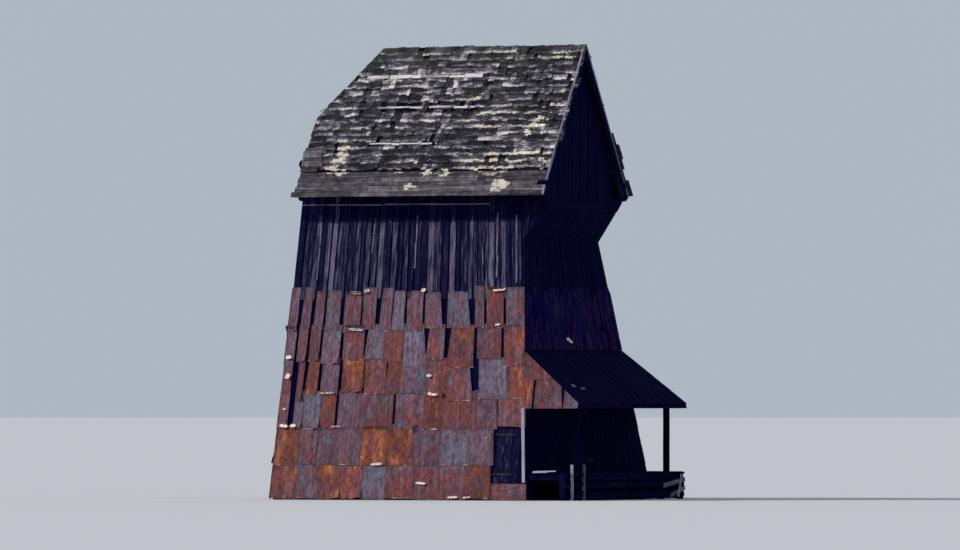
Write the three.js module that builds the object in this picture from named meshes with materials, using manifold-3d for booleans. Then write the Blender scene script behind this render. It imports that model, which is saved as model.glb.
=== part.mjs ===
// A disused timber windmill with its sails gone: a leaning boarded body on ground sills, a shingled roof
// with a half-hip at the back, a jettied gable in front, and a roofed loading deck under that gable.
// Units are millimetres, Z is up, X runs along the ridge towards the deck, and the side with the low
// door faces -Y. The origin is on the ground, in the middle of everything that is built.
import * as THREE from "three";
import { ConvexGeometry } from "three/addons/geometries/ConvexGeometry.js";
import { mergeVertices } from "three/addons/utils/BufferGeometryUtils.js";
import Module from "manifold-3d";

const wasm = await Module();
wasm.setup();

// Driving sizes of the body. A batter is how far a wall leans in for each unit of height.
const BASE_LENGTH = 7555;
const BASE_DEPTH = 7450;
const SIDE_BATTER = 0.2213;
const PORCH_BATTER = 0.1229;
const BACK_BATTER = 0.0065;
const BOARD = 40;
const SHEET = 12;
const POST = 180;
const SILL_DEPTH = 250;
const SILL_HEIGHT = 400;
const CLADDING_FOOT_Z = 50;
const FLOOR_Z = 450;
const SHEET_TOP_Z = 5600;
const BACK_WALL_TOP_Z = 7790;
const PLATE_FOOT_Z = 8380;
const PLATE_TOP_Z = 8680;

// Driving sizes of the roof and of the jettied gable.
const RIDGE_Z = 12000;
const EAVE_Z = 8000;
const ROOF_HALF = 2530;
const ROOF_BACK_X = -3707;
const ROOF_FRONT_X = 3672;
const ROOF_THICK = 120;
const HIP_RIDGE_X = -2307;
const HIP_EAVE_Z = 10130;
const BARGE_THICK = 30;
const BARGE_DEEP = 200;
const BARGE_PROUD = 12;
const WAIST_Z = 6830;
const JETTY_FOOT_Z = 7620;
const JETTY_X = 3470;
const PURLIN = { width: 200, height: 300, y: -1500, tipX: -4080 };

// Driving sizes of the low side door, measured along the ground line and up the slope of its wall.
const DOOR = { left: 2760, right: 3450, sillZ: 450, headZ: 1910, gap: 10, thick: 30 };
const LEDGE = { width: 90, thick: 25, left: 40, right: 150 };
const HINGE = { pin: 8, bore: 9.5, eye: 17, tall: 50, out: 24, strap: 520, thick: 8, inset: 220 };
const PINTLE = { rise: 78, foot: 14, plate: 60 };
const CORNER_BOARD = { width: 110, thick: 25 };

// Driving sizes of the deck, its canopy and its door.
const CANOPY_TOP_Z = 3930;
const CANOPY_TIP_X = 5050;
const CANOPY_TIP_Z = 2540;
const CANOPY_THICK = 100;
const CANOPY_SIDE = 30;
const CHEEK_FOOT_Z = 2420;
const DECK_Z = 730;
const DECK_PLANK = 50;
const DECK_FRONT_X = 4830;
const DECK_HALF = 3560;
const DECK_BEAM = { wide: 150, tall: 150 };
const DECK_LEG = 140;
const DECK_BAYS = 6;
const SKIRT = { thick: 25, tall: 130, feet: [70, 330] };
const PORCH_POST = { size: 140, y: 2675, x: 4660 };
const PORCH_DOOR = { half: 550, tall: 1900, gap: 5, thick: 35, batten: 25 };
const LADDER = { y: -2875, wide: 760, stile: 70, deep: 90, tall: 940, rung: 45, rungs: [200, 430, 660] };

// Pieces that touch keep this much air between them.
const GAP = 0.3;
const TOUCH = 0.01;

const COLOURS = {
  boards: { color: 0x453f42, roughness: 0.9, metalness: 0 },
  sheets: { color: 0x74463c, roughness: 0.75, metalness: 0.25 },
  shingles: { color: 0x5e5a55, roughness: 0.95, metalness: 0 },
  timber: { color: 0x4d443f, roughness: 0.9, metalness: 0 },
  iron: { color: 0x4a3a34, roughness: 0.6, metalness: 0.7 },
  pale: { color: 0x9b948f, roughness: 0.85, metalness: 0 },
};
const MATERIALS = Object.fromEntries(
  Object.entries(COLOURS).map(([name, look]) => [name, new THREE.MeshStandardMaterial({ name, ...look })]),
);

// A flat face through a point. The solid lies on the side that the normal points away from.
function face(normal, point) {
  return new THREE.Plane().setFromNormalAndCoplanarPoint(
    new THREE.Vector3(...normal).normalize(),
    new THREE.Vector3(...point),
  );
}

// The same face moved outwards, or inwards for a negative distance.
function moved(plane, distance) {
  return new THREE.Plane(plane.normal.clone(), plane.constant - distance);
}

// The face that leaves what lies beyond the given one.
function beyond(plane, distance = 0) {
  return moved(plane, distance).negate();
}

// The two faces of a layer that runs along a plane, from its outer distance to its inner one.
function layer(plane, outer, inner) {
  return [moved(plane, outer), beyond(plane, inner)];
}

const below = (z) => face([0, 0, 1], [0, 0, z]);
const above = (z) => face([0, 0, -1], [0, 0, z]);
const xUnder = (x) => face([1, 0, 0], [x, 0, 0]);
const xOver = (x) => face([-1, 0, 0], [x, 0, 0]);
const yUnder = (y) => face([0, 1, 0], [0, y, 0]);
const yOver = (y) => face([0, -1, 0], [0, y, 0]);

// The point where three faces meet, or null where two of them are parallel.
function meeting(a, b, c) {
  const across = new THREE.Vector3().crossVectors(b.normal, c.normal);
  const volume = a.normal.dot(across);
  if (Math.abs(volume) < 1e-9) return null;
  return across
    .multiplyScalar(-a.constant)
    .addScaledVector(new THREE.Vector3().crossVectors(c.normal, a.normal), -b.constant)
    .addScaledVector(new THREE.Vector3().crossVectors(a.normal, b.normal), -c.constant)
    .divideScalar(volume);
}

// The convex solid that all the given faces enclose.
function solid(...given) {
  const faces = given.flat(Infinity);
  const corners = [];
  for (let i = 0; i < faces.length; i++)
    for (let j = i + 1; j < faces.length; j++)
      for (let k = j + 1; k < faces.length; k++) {
        const corner = meeting(faces[i], faces[j], faces[k]);
        if (!corner || faces.some((f) => f.distanceToPoint(corner) > TOUCH)) continue;
        if (!corners.some((other) => other.distanceTo(corner) < TOUCH)) corners.push(corner);
      }
  return new ConvexGeometry(corners);
}

// A box given by its lowest and highest corner.
function block(low, high) {
  const size = high.map((value, i) => value - low[i]);
  return new THREE.BoxGeometry(...size).translate(...low.map((value, i) => value + size[i] / 2));
}

// A closed geometry as a solid that can be joined and cut.
function carved(geometry) {
  const bare = geometry.clone();
  Object.keys(bare.attributes)
    .filter((name) => name !== "position")
    .forEach((name) => bare.deleteAttribute(name));
  const merged = mergeVertices(bare, 1e-3);
  return new wasm.Manifold(
    new wasm.Mesh({
      numProp: 3,
      vertProperties: merged.attributes.position.array,
      triVerts: new Uint32Array(merged.index.array),
    }),
  );
}

function uncarved(shape) {
  const mesh = shape.getMesh();
  return new THREE.BufferGeometry()
    .setAttribute("position", new THREE.BufferAttribute(new Float32Array(mesh.vertProperties), 3))
    .setIndex(new THREE.BufferAttribute(new Uint32Array(mesh.triVerts), 1));
}

const joined = (...pieces) => uncarved(pieces.map(carved).reduce((whole, piece) => whole.add(piece)));
const cut = (body, ...holes) => uncarved(holes.map(carved).reduce((left, hole) => left.subtract(hole), carved(body)));

function named(name, material, geometry) {
  const mesh = new THREE.Mesh(geometry, MATERIALS[material]);
  mesh.name = name;
  return mesh;
}

// The four leaning walls, the roof slopes, the canopy and the jetty soffit, each as the plane of its outer face.
const NEAR = face([0, -1, SIDE_BATTER], [0, -BASE_DEPTH / 2, 0]);
const FAR = face([0, 1, SIDE_BATTER], [0, BASE_DEPTH / 2, 0]);
const BACK = face([-1, 0, BACK_BATTER], [-BASE_LENGTH / 2, 0, 0]);
const PORCH = face([1, 0, PORCH_BATTER], [BASE_LENGTH / 2, 0, 0]);
const ROOF_NEAR = face([0, EAVE_Z - RIDGE_Z, ROOF_HALF], [0, 0, RIDGE_Z]);
const ROOF_FAR = face([0, RIDGE_Z - EAVE_Z, ROOF_HALF], [0, 0, RIDGE_Z]);
const HIP = face([HIP_EAVE_Z - RIDGE_Z, 0, HIP_RIDGE_X - ROOF_BACK_X], [HIP_RIDGE_X, 0, RIDGE_Z]);
const porchX = (z) => BASE_LENGTH / 2 - PORCH_BATTER * z;
const CANOPY = face(
  [CANOPY_TOP_Z - CANOPY_TIP_Z, 0, CANOPY_TIP_X - porchX(CANOPY_TOP_Z)],
  [CANOPY_TIP_X, 0, CANOPY_TIP_Z],
);
const SOFFIT = face([JETTY_FOOT_Z - WAIST_Z, 0, porchX(WAIST_Z) - JETTY_X], [JETTY_X, 0, JETTY_FOOT_Z]);

const sides = { near: NEAR, far: FAR };
const ends = { back: BACK, porch: PORCH };
const underRoof = [moved(ROOF_NEAR, -ROOF_THICK - GAP), moved(ROOF_FAR, -ROOF_THICK - GAP)];
const betweenSides = (inset) => [moved(NEAR, -inset - GAP), moved(FAR, -inset - GAP)];
const betweenEnds = (inset) => [moved(BACK, -inset - GAP), moved(PORCH, -inset - GAP)];

// Ground sills, the four leaning corner posts, the floor and the plates under the roof.
function frame() {
  const pieces = [];
  const sillInner = BOARD + SILL_DEPTH;
  const postInner = BOARD + POST;
  for (const [side, plane] of Object.entries(sides)) {
    const inside = layer(plane, -BOARD - GAP, -sillInner);
    pieces.push(named(`sill_${side}`, "timber", solid(inside, betweenEnds(BOARD), above(0), below(SILL_HEIGHT))));
    const plate = layer(plane, -BOARD - GAP, -postInner);
    const plateFaces = [plate, betweenEnds(BOARD), above(PLATE_FOOT_Z), below(PLATE_TOP_Z), underRoof];
    pieces.push(named(`wall_plate_${side}`, "timber", solid(plateFaces)));
    for (const [end, endPlane] of Object.entries(ends)) {
      const corner = [layer(plane, -BOARD - GAP, -postInner), layer(endPlane, -BOARD - GAP, -postInner)];
      const post = solid(corner, above(SILL_HEIGHT + GAP), below(PLATE_FOOT_Z - GAP));
      pieces.push(named(`corner_post_${side}_${end}`, "timber", post));
    }
  }
  for (const [end, plane] of Object.entries(ends)) {
    const beam = solid(layer(plane, -BOARD - GAP, -sillInner), betweenSides(sillInner), above(0), below(SILL_HEIGHT));
    pieces.push(named(`sill_${end}`, "timber", beam));
  }
  const floor = solid(betweenSides(postInner), betweenEnds(postInner), above(SILL_HEIGHT + GAP), below(FLOOR_Z));
  pieces.push(named("ground_floor", "timber", floor));
  return pieces;
}

// The low door's own directions: across is +X, up the slope of the near wall, and straight out of it.
const NEAR_UP = new THREE.Vector3(0, SIDE_BATTER, 1).normalize();
const upSlope = (z) => z / NEAR_UP.z;
const pastSlope = (z) => face([0, -NEAR_UP.y, -NEAR_UP.z], [0, -BASE_DEPTH / 2 + SIDE_BATTER * z, z]);
const underSlope = (z) => face([0, NEAR_UP.y, NEAR_UP.z], [0, -BASE_DEPTH / 2 + SIDE_BATTER * z, z]);

// The near wall's boards and sheets, parted beside, over and under the low door.
function nearWall() {
  const boards = layer(NEAR, 0, -BOARD);
  const sheets = layer(NEAR, SHEET, GAP);
  const main = [moved(BACK, 0), moved(PORCH, 0), xUnder(DOOR.left), above(CLADDING_FOOT_Z)];
  const beside = [xOver(DOOR.left + GAP), moved(PORCH, 0)];
  const over = [beside, pastSlope(DOOR.headZ)];
  const under = [beside, above(CLADDING_FOOT_Z), underSlope(DOOR.sillZ)];
  const cornerFaces = [
    layer(NEAR, CORNER_BOARD.thick, GAP),
    layer(PORCH, 0, -CORNER_BOARD.width),
    pastSlope(DOOR.sillZ + GAP),
    xOver(DOOR.right + GAP),
    below(CHEEK_FOOT_Z - GAP),
  ];
  const cornerRoom = solid(
    layer(NEAR, CORNER_BOARD.thick * 2, -GAP),
    [moved(PORCH, CORNER_BOARD.width), beyond(PORCH, -CORNER_BOARD.width - GAP)],
    pastSlope(DOOR.sillZ),
    below(CHEEK_FOOT_Z),
  );
  const byDoor = [xOver(DOOR.right), moved(PORCH, 0), pastSlope(DOOR.sillZ + GAP), underSlope(DOOR.headZ - GAP)];
  return [
    named("near_boards", "boards", solid(boards, main, underRoof)),
    named("near_boards_over_door", "boards", solid(boards, over, underRoof)),
    named("near_boards_under_door", "boards", solid(boards, under)),
    named("near_boards_beside_door", "boards", solid(boards, byDoor)),
    named("near_sheets", "sheets", cut(solid(sheets, main, below(SHEET_TOP_Z)), ...pintleRoom())),
    named("near_sheets_over_door", "sheets", cut(solid(sheets, over, below(SHEET_TOP_Z)), cornerRoom)),
    named("near_sheets_under_door", "sheets", solid(sheets, under)),
    named("corner_board", "pale", solid(...cornerFaces)),
  ];
}

// Sets a shape drawn in the near wall's own plane (x across, y up the slope, z out) in its place.
const IN_NEAR_WALL = new THREE.Matrix4().compose(
  new THREE.Vector3(0, -BASE_DEPTH / 2, 0),
  new THREE.Quaternion().setFromAxisAngle(new THREE.Vector3(1, 0, 0), Math.PI / 2 - Math.atan(SIDE_BATTER)),
  new THREE.Vector3(1, 1, 1),
);
const onNearWall = (geometry) => geometry.applyMatrix4(IN_NEAR_WALL);

const doorAxisX = DOOR.left + DOOR.gap - HINGE.eye + 10;
const hingeHeights = [upSlope(DOOR.sillZ) + HINGE.inset, upSlope(DOOR.headZ) - HINGE.inset];
const upright = (radius, foot, tall) =>
  new THREE.CylinderGeometry(radius, radius, tall, 24).translate(doorAxisX, foot + tall / 2, HINGE.out);

// Two pintles on the boards beside the door: a flat arm in a notch of the sheet, and a pin up the slope.
function doorPintles() {
  return hingeHeights.map((height, i) => {
    const plateFoot = height - PINTLE.foot;
    const plateLeft = doorAxisX - PINTLE.plate;
    const arm = block([plateLeft, plateFoot, GAP], [doorAxisX, height, HINGE.out + HINGE.pin]);
    const pin = upright(HINGE.pin, plateFoot, PINTLE.rise);
    return named(`door_pintle_${i ? "high" : "low"}`, "iron", onNearWall(joined(arm, pin)));
  });
}

// The notches that the pintles' arms need in the sheets.
function pintleRoom() {
  return hingeHeights.map((height) => {
    const low = [doorAxisX - PINTLE.plate - GAP, height - PINTLE.foot - GAP, -BOARD / 2];
    return onNearWall(block(low, [DOOR.left + 1, height + PINTLE.rise, HINGE.out * 2]));
  });
}

// The low door: boards on two ledges, with a strap hinge on each ledge. It swings out on its pintles.
function sideDoor() {
  const low = upSlope(DOOR.sillZ) + DOOR.gap;
  const high = upSlope(DOOR.headZ) - DOOR.gap;
  const left = DOOR.left + DOOR.gap;
  const right = DOOR.right - DOOR.gap;
  const pieces = [block([left, low, -DOOR.thick], [right, high, 0])];
  const bores = [];
  for (const height of hingeHeights) {
    const foot = height + GAP;
    const middle = foot + HINGE.tall / 2;
    const ledgeFoot = middle - LEDGE.width / 2;
    const ledgeLow = [left + LEDGE.left, ledgeFoot, -DOOR.thick - LEDGE.thick];
    pieces.push(block(ledgeLow, [right - LEDGE.right, ledgeFoot + LEDGE.width, -DOOR.thick + 1]));
    pieces.push(block([left, foot, -1], [left + HINGE.strap, foot + HINGE.tall, HINGE.thick]));
    pieces.push(block([doorAxisX, foot, HINGE.thick - 4], [left + 30, foot + HINGE.tall, HINGE.out]));
    pieces.push(upright(HINGE.eye, foot, HINGE.tall));
    bores.push(upright(HINGE.bore, foot - 5, HINGE.tall + 10));
  }
  return named("side_door", "boards", onNearWall(cut(joined(...pieces), ...bores)));
}

// The far wall and the back wall, with the back gable under the half-hip.
function farAndBackWalls() {
  const farWide = [moved(BACK, 0), moved(PORCH, 0), above(CLADDING_FOOT_Z)];
  const back = layer(BACK, 0, -BOARD);
  const underHip = moved(HIP, -ROOF_THICK - GAP);
  const backFoot = [betweenSides(BOARD), above(CLADDING_FOOT_Z)];
  const sheetsWide = [moved(NEAR, 0), moved(FAR, 0), above(CLADDING_FOOT_Z), below(SHEET_TOP_Z)];
  return [
    named("far_boards", "boards", solid(layer(FAR, 0, -BOARD), farWide, underRoof)),
    named("far_sheets", "sheets", solid(layer(FAR, SHEET, GAP), farWide, below(SHEET_TOP_Z))),
    named("back_boards", "boards", solid(back, backFoot, below(BACK_WALL_TOP_Z - GAP))),
    named("back_sheets", "sheets", solid(layer(BACK, SHEET, GAP), sheetsWide)),
    named("back_gable", "boards", solid(back, betweenSides(BOARD), above(BACK_WALL_TOP_Z), underRoof, underHip)),
  ];
}

// The porch wall with the plank door onto the deck, and the sheets above the canopy.
function porchWall() {
  const wall = solid(layer(PORCH, 0, -BOARD), betweenSides(BOARD), above(CLADDING_FOOT_Z), below(WAIST_Z));
  const doorway = (gap, outer, inner) =>
    solid(
      layer(PORCH, outer, inner),
      yUnder(PORCH_DOOR.half - gap),
      yOver(gap - PORCH_DOOR.half),
      above(DECK_Z + Math.min(gap, GAP)),
      below(DECK_Z + PORCH_DOOR.tall - gap),
    );
  const leaf = doorway(PORCH_DOOR.gap, 0, -PORCH_DOOR.thick);
  const ledges = [300, 1500].map((rise) =>
    solid(
      layer(PORCH, PORCH_DOOR.batten, -1),
      yUnder(PORCH_DOOR.half - 60),
      yOver(60 - PORCH_DOOR.half),
      above(DECK_Z + rise),
      below(DECK_Z + rise + LEDGE.width),
    ),
  );
  const sheets = [moved(NEAR, 0), moved(FAR, 0), beyond(CANOPY, GAP), below(SHEET_TOP_Z)];
  return [
    named("porch_boards", "boards", cut(wall, doorway(0, BOARD, -2 * BOARD))),
    named("porch_door", "boards", joined(leaf, ...ledges)),
    named("porch_sheets", "sheets", solid(layer(PORCH, SHEET, GAP), sheets)),
  ];
}

// The jetty: a sloping soffit and two cheeks that carry the front gable out over the porch wall.
function jetty() {
  const between = betweenSides(BOARD);
  const past = beyond(PORCH, -BOARD);
  const soffit = solid(layer(SOFFIT, 0, -BOARD), between, past, above(WAIST_Z + GAP), below(JETTY_FOOT_Z));
  const gable = solid(xUnder(JETTY_X), xOver(JETTY_X - BOARD), between, above(JETTY_FOOT_Z + GAP), underRoof);
  const cheek = (plane) =>
    solid(layer(plane, 0, -BOARD), beyond(PORCH, GAP), xUnder(JETTY_X), moved(SOFFIT, 0), underRoof);
  return [
    named("jetty_soffit", "boards", soffit),
    named("front_gable", "boards", gable),
    named("jetty_cheek_near", "boards", cheek(NEAR)),
    named("jetty_cheek_far", "boards", cheek(FAR)),
  ];
}

// Two roof slopes, the half-hip over the back gable, and the boards along the front verge.
function roof() {
  const slabEnd = ROOF_FRONT_X - BARGE_THICK - GAP;
  const underHip = moved(HIP, -ROOF_THICK - GAP);
  const slope = (plane, middle) =>
    solid(layer(plane, 0, -ROOF_THICK), xUnder(slabEnd), xOver(ROOF_BACK_X), above(EAVE_Z), underHip, middle);
  const barge = (plane, middle) =>
    solid(
      layer(plane, BARGE_PROUD, -BARGE_DEEP),
      xUnder(ROOF_FRONT_X),
      xOver(ROOF_FRONT_X - BARGE_THICK),
      above(EAVE_Z),
      middle,
    );
  const hip = solid(layer(HIP, 0, -ROOF_THICK), moved(ROOF_NEAR, 0), moved(ROOF_FAR, 0), xOver(ROOF_BACK_X));
  const halfPurlin = PURLIN.width / 2;
  const purlin = solid(
    xOver(PURLIN.tipX),
    beyond(BACK, GAP),
    yUnder(PURLIN.y + halfPurlin),
    yOver(PURLIN.y - halfPurlin),
    layer(ROOF_NEAR, -ROOF_THICK - GAP, -ROOF_THICK - PURLIN.height),
  );
  return [
    named("roof_near", "shingles", slope(ROOF_NEAR, yUnder(-GAP / 2))),
    named("roof_far", "shingles", slope(ROOF_FAR, yOver(GAP / 2))),
    named("roof_half_hip", "shingles", hip),
    named("bargeboard_near", "pale", barge(ROOF_NEAR, yUnder(-GAP / 2))),
    named("bargeboard_far", "pale", barge(ROOF_FAR, yOver(GAP / 2))),
    named("purlin_end", "timber", purlin),
  ];
}

// The canopy over the deck: its lean-to roof, two cheeks that carry on the side walls, a beam and two posts.
function canopy() {
  const under = moved(CANOPY, -CANOPY_THICK - GAP);
  const away = beyond(PORCH, GAP);
  const wide = [moved(NEAR, CANOPY_SIDE), moved(FAR, CANOPY_SIDE)];
  const top = solid(layer(CANOPY, 0, -CANOPY_THICK), away, wide, xUnder(CANOPY_TIP_X));
  const cheek = (plane) => solid(layer(plane, SHEET, -BOARD), away, under, above(CHEEK_FOOT_Z));
  const postEnd = PORCH_POST.x + PORCH_POST.size;
  const beam = solid(xOver(PORCH_POST.x), xUnder(postEnd), betweenSides(BOARD), above(CHEEK_FOOT_Z), under);
  const post = (y) =>
    block(
      [PORCH_POST.x, y - PORCH_POST.size / 2, DECK_Z + GAP],
      [postEnd, y + PORCH_POST.size / 2, CHEEK_FOOT_Z - GAP],
    );
  return [
    named("canopy_roof", "boards", top),
    named("canopy_cheek_near", "sheets", cheek(NEAR)),
    named("canopy_cheek_far", "sheets", cheek(FAR)),
    named("canopy_beam", "timber", beam),
    named("canopy_post_near", "timber", post(-PORCH_POST.y)),
    named("canopy_post_far", "timber", post(PORCH_POST.y)),
  ];
}

// The loading deck: planks on a frame of beams and legs, with two loose boards along its front.
function deck() {
  const plankFoot = DECK_Z - DECK_PLANK;
  const away = beyond(PORCH, GAP);
  const planks = solid(away, xUnder(DECK_FRONT_X), yOver(-DECK_HALF), yUnder(DECK_HALF), above(plankFoot), below(DECK_Z));
  const beamTop = plankFoot - GAP;
  const beamFoot = beamTop - DECK_BEAM.tall;
  const front = DECK_FRONT_X - SKIRT.thick;
  const beam = [above(beamFoot), below(beamTop)];
  const pieces = [
    block([front - DECK_BEAM.wide, -DECK_HALF, beamFoot], [front, DECK_HALF, beamTop]),
    solid(away, moved(PORCH, DECK_BEAM.wide), yOver(-DECK_HALF), yUnder(DECK_HALF), beam),
  ];
  for (let bay = 0; bay <= DECK_BAYS; bay++) {
    const y = -DECK_HALF + (bay / DECK_BAYS) * (2 * DECK_HALF - DECK_LEG);
    pieces.push(block([front - DECK_LEG, y, 0], [front, y + DECK_LEG, beamFoot + 1]));
    pieces.push(solid(away, xUnder(front - 1), yOver(y), yUnder(y + DECK_LEG), beam));
  }
  for (const foot of SKIRT.feet)
    pieces.push(block([front - 1, -DECK_HALF, foot], [DECK_FRONT_X, DECK_HALF, foot + SKIRT.tall]));
  return [named("deck_planks", "timber", planks), named("deck_frame", "timber", joined(...pieces))];
}

// The short upright ladder at the front of the deck.
function ladder() {
  const back = DECK_FRONT_X + GAP;
  const front = back + LADDER.deep;
  const low = LADDER.y - LADDER.wide / 2;
  const high = LADDER.y + LADDER.wide / 2;
  const pieces = [
    block([back, low, 0], [front, low + LADDER.stile, LADDER.tall]),
    block([back, high - LADDER.stile, 0], [front, high, LADDER.tall]),
    ...LADDER.rungs.map((z) => block([back + 10, low + 5, z], [front - 10, high - 5, z + LADDER.rung])),
  ];
  return named("ladder", "pale", joined(...pieces));
}

const mill = new THREE.Group();
mill.add(...frame(), ...nearWall(), ...doorPintles(), sideDoor(), ...farAndBackWalls(), ...porchWall());
mill.add(...jetty(), ...roof(), ...canopy(), ...deck(), ladder());

// The origin goes to the middle of the whole footprint.
const extent = new THREE.Box3().setFromObject(mill);
mill.position.set(-(extent.min.x + extent.max.x) / 2, -(extent.min.y + extent.max.y) / 2, 0);

export default mill;
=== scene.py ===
# %% [markdown]
# # A timber windmill that has lost its sails
#
# The real mill is a leaning box of upright boards on ground sills. A steep shingled roof ends in a half-hip
# at the back and stands out over the wall in front, over a roofed loading deck. Its walls are patched with
# flat steel sheets that have rusted. The solids come ready made, in their real places, and this lesson
# dresses them: boards, sheets, shingles, deck planks and a low door, each modelled as it was once made.

# %% Load the solids
import math
import random

import bpy
from mathutils import Matrix, Vector


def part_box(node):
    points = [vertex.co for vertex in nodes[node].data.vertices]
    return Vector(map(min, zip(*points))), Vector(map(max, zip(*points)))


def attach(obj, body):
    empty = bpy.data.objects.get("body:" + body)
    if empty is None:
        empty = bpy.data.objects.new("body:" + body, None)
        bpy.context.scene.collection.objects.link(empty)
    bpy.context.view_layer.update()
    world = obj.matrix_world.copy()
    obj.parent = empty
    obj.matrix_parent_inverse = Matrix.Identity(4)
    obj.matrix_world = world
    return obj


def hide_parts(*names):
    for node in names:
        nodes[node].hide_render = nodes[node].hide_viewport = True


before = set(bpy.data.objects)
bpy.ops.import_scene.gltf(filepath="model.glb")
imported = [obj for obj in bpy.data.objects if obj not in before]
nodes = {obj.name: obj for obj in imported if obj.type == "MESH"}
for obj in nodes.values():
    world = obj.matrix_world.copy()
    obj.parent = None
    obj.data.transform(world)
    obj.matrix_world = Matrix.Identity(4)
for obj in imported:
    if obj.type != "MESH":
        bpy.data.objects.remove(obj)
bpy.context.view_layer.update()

# %% [markdown]
# The camera comes first, because everything is judged through it. The mill was seen from far away, from 27
# degrees round from its long side and almost level with the ground, so the lens is very long and the
# picture has hardly any perspective. The frame is taken to be 960 by 550.

# %% Camera
VIEW_ROUND = math.radians(27)
VIEW_AWAY = 300.0
LOOK_AT = Vector((0.05, 0, 5.95))
EYE_HEIGHT = 2.6
FRAME_TALL = 14.6
FRAME_SHAPE = 960 / 550
SENSOR_WIDE = 36.0

bpy.ops.object.camera_add()
camera = bpy.context.object
camera.name = "camera"
camera.location = (
    LOOK_AT.x + math.sin(VIEW_ROUND) * VIEW_AWAY,
    LOOK_AT.y - math.cos(VIEW_ROUND) * VIEW_AWAY,
    EYE_HEIGHT,
)
camera.rotation_mode = "QUATERNION"
camera.rotation_quaternion = (LOOK_AT - camera.location).to_track_quat("-Z", "Y")
camera.data.sensor_width = SENSOR_WIDE
camera.data.lens = SENSOR_WIDE * VIEW_AWAY / (FRAME_TALL * FRAME_SHAPE)
camera.data.clip_end = 3000
bpy.context.scene.camera = camera
print("lens", round(camera.data.lens), "mm")

# %% [markdown]
# The light is one sun lamp, high on the left, and a weak pale sky. A picture of a real sky could light the
# mill as well, but one lamp is easier to aim. It leaves the porch end in shade, which is how the mill's
# shape reads best, and its angle of six degrees softens the edges of the shadows. The floor is a plain pale
# sheet.

# %% Light and floor
def linear(code):
    """A colour such as #8A4B2A, as the linear values that a shader works with."""
    parts = [int(code[i : i + 2], 16) / 255 for i in (1, 3, 5)]
    return (*[v / 12.92 if v <= 0.04045 else ((v + 0.055) / 1.055) ** 2.4 for v in parts], 1.0)


bpy.ops.object.light_add(type="SUN", location=(-20, -20, 30))
key = bpy.context.object
key.name = "key_light"
key.data.energy = 3.7
key.data.angle = math.radians(6)
key.data.color = linear("#FFF1E0")[:3]
key.rotation_mode = "QUATERNION"
key.rotation_quaternion = Vector((0.90, 0.52, -0.72)).to_track_quat("-Z", "Y")

sky = bpy.data.worlds.new("soft_sky")
bpy.context.scene.world = sky
sky.use_nodes = True
sky.node_tree.nodes["Background"].inputs["Color"].default_value = linear("#DAE6F4")
sky.node_tree.nodes["Background"].inputs["Strength"].default_value = 0.60
bpy.context.scene.view_settings.view_transform = "Standard"

bpy.ops.mesh.primitive_circle_add(vertices=96, radius=1500, fill_type="NGON")
floor = bpy.context.object
floor.name = "studio_floor"
paper = bpy.data.materials.new("studio_paper")
paper.use_nodes = True
paper.node_tree.nodes["Principled BSDF"].inputs["Base Color"].default_value = linear("#B6BCC4")
paper.node_tree.nodes["Principled BSDF"].inputs["Roughness"].default_value = 0.9
floor.data.materials.append(paper)
print("lit by", key.name, "and", sky.name)

# %% [markdown]
# A material is a small network of nodes. One function adds any node: its settings, the numbers or links of
# its inputs, and for a colour ramp its stops. Each new piece carries two things for its material: a map
# named flat, which holds the width and height of the piece as it was modelled, in metres, so that grain
# follows the piece wherever it hangs, and an attribute named tone, one number per board, sheet or shingle,
# so that no two of them are the same colour. A sheet also carries rim, which is 1 along its edges. Grain
# could be painted as a picture instead, but noise needs no picture and never repeats.

# %% How a node is added
def add(tree, kind, inputs=None, stops=None, out=0, **settings):
    """Adds a node with its settings, inputs and a ramp's stops, and gives the output that is asked for."""
    node = tree.nodes.new(kind)
    for name, value in settings.items():
        setattr(node, name, value)
    for name, value in (inputs or {}).items():
        if isinstance(value, bpy.types.NodeSocket):
            tree.links.new(value, node.inputs[name])
        else:
            node.inputs[name].default_value = value
    if stops:
        ramp = node.color_ramp
        while len(ramp.elements) < len(stops):
            ramp.elements.new(0.5)
        for element, (place, colour) in zip(ramp.elements, stops):
            element.position = place
            element.color = linear(colour)
    return node.outputs[out]


def fresh(name):
    """A new material and its tree, with only the shader and the output in it."""
    made = bpy.data.materials.new(name)
    made.use_nodes = True
    return made, made.node_tree, made.node_tree.nodes["Principled BSDF"]


# %% [markdown]
# Spruce that has stood bare for decades is matte and dark, with a violet-grey bloom, and the soft wood
# between the year rings wears away, so the grain stands up in ridges along the board. They are 4 to 8 mm
# apart and are drawn about three times as far apart, so that they show from here. Oak in the sun turns
# silver, and laths bleach paler still. Under the eave, on the porch end and under the shingles the wood is
# painted nearly black and navy: painted shade, where those parts lie out of the sun.

# %% Bare boards
# The porch end leans in by PORCH_BATTER for each metre up. EAVE_SHADE and PORCH_SHADE say, in metres,
# between which heights, and between which distances out towards that end, painted shade comes in on the
# wood: the shadow that the eave casts on the walls, and the shade of the whole porch end.
PORCH_BATTER = 0.1229
EAVE_SHADE = (7.36, 7.42)
PORCH_SHADE = (3.27, 3.31)


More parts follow.
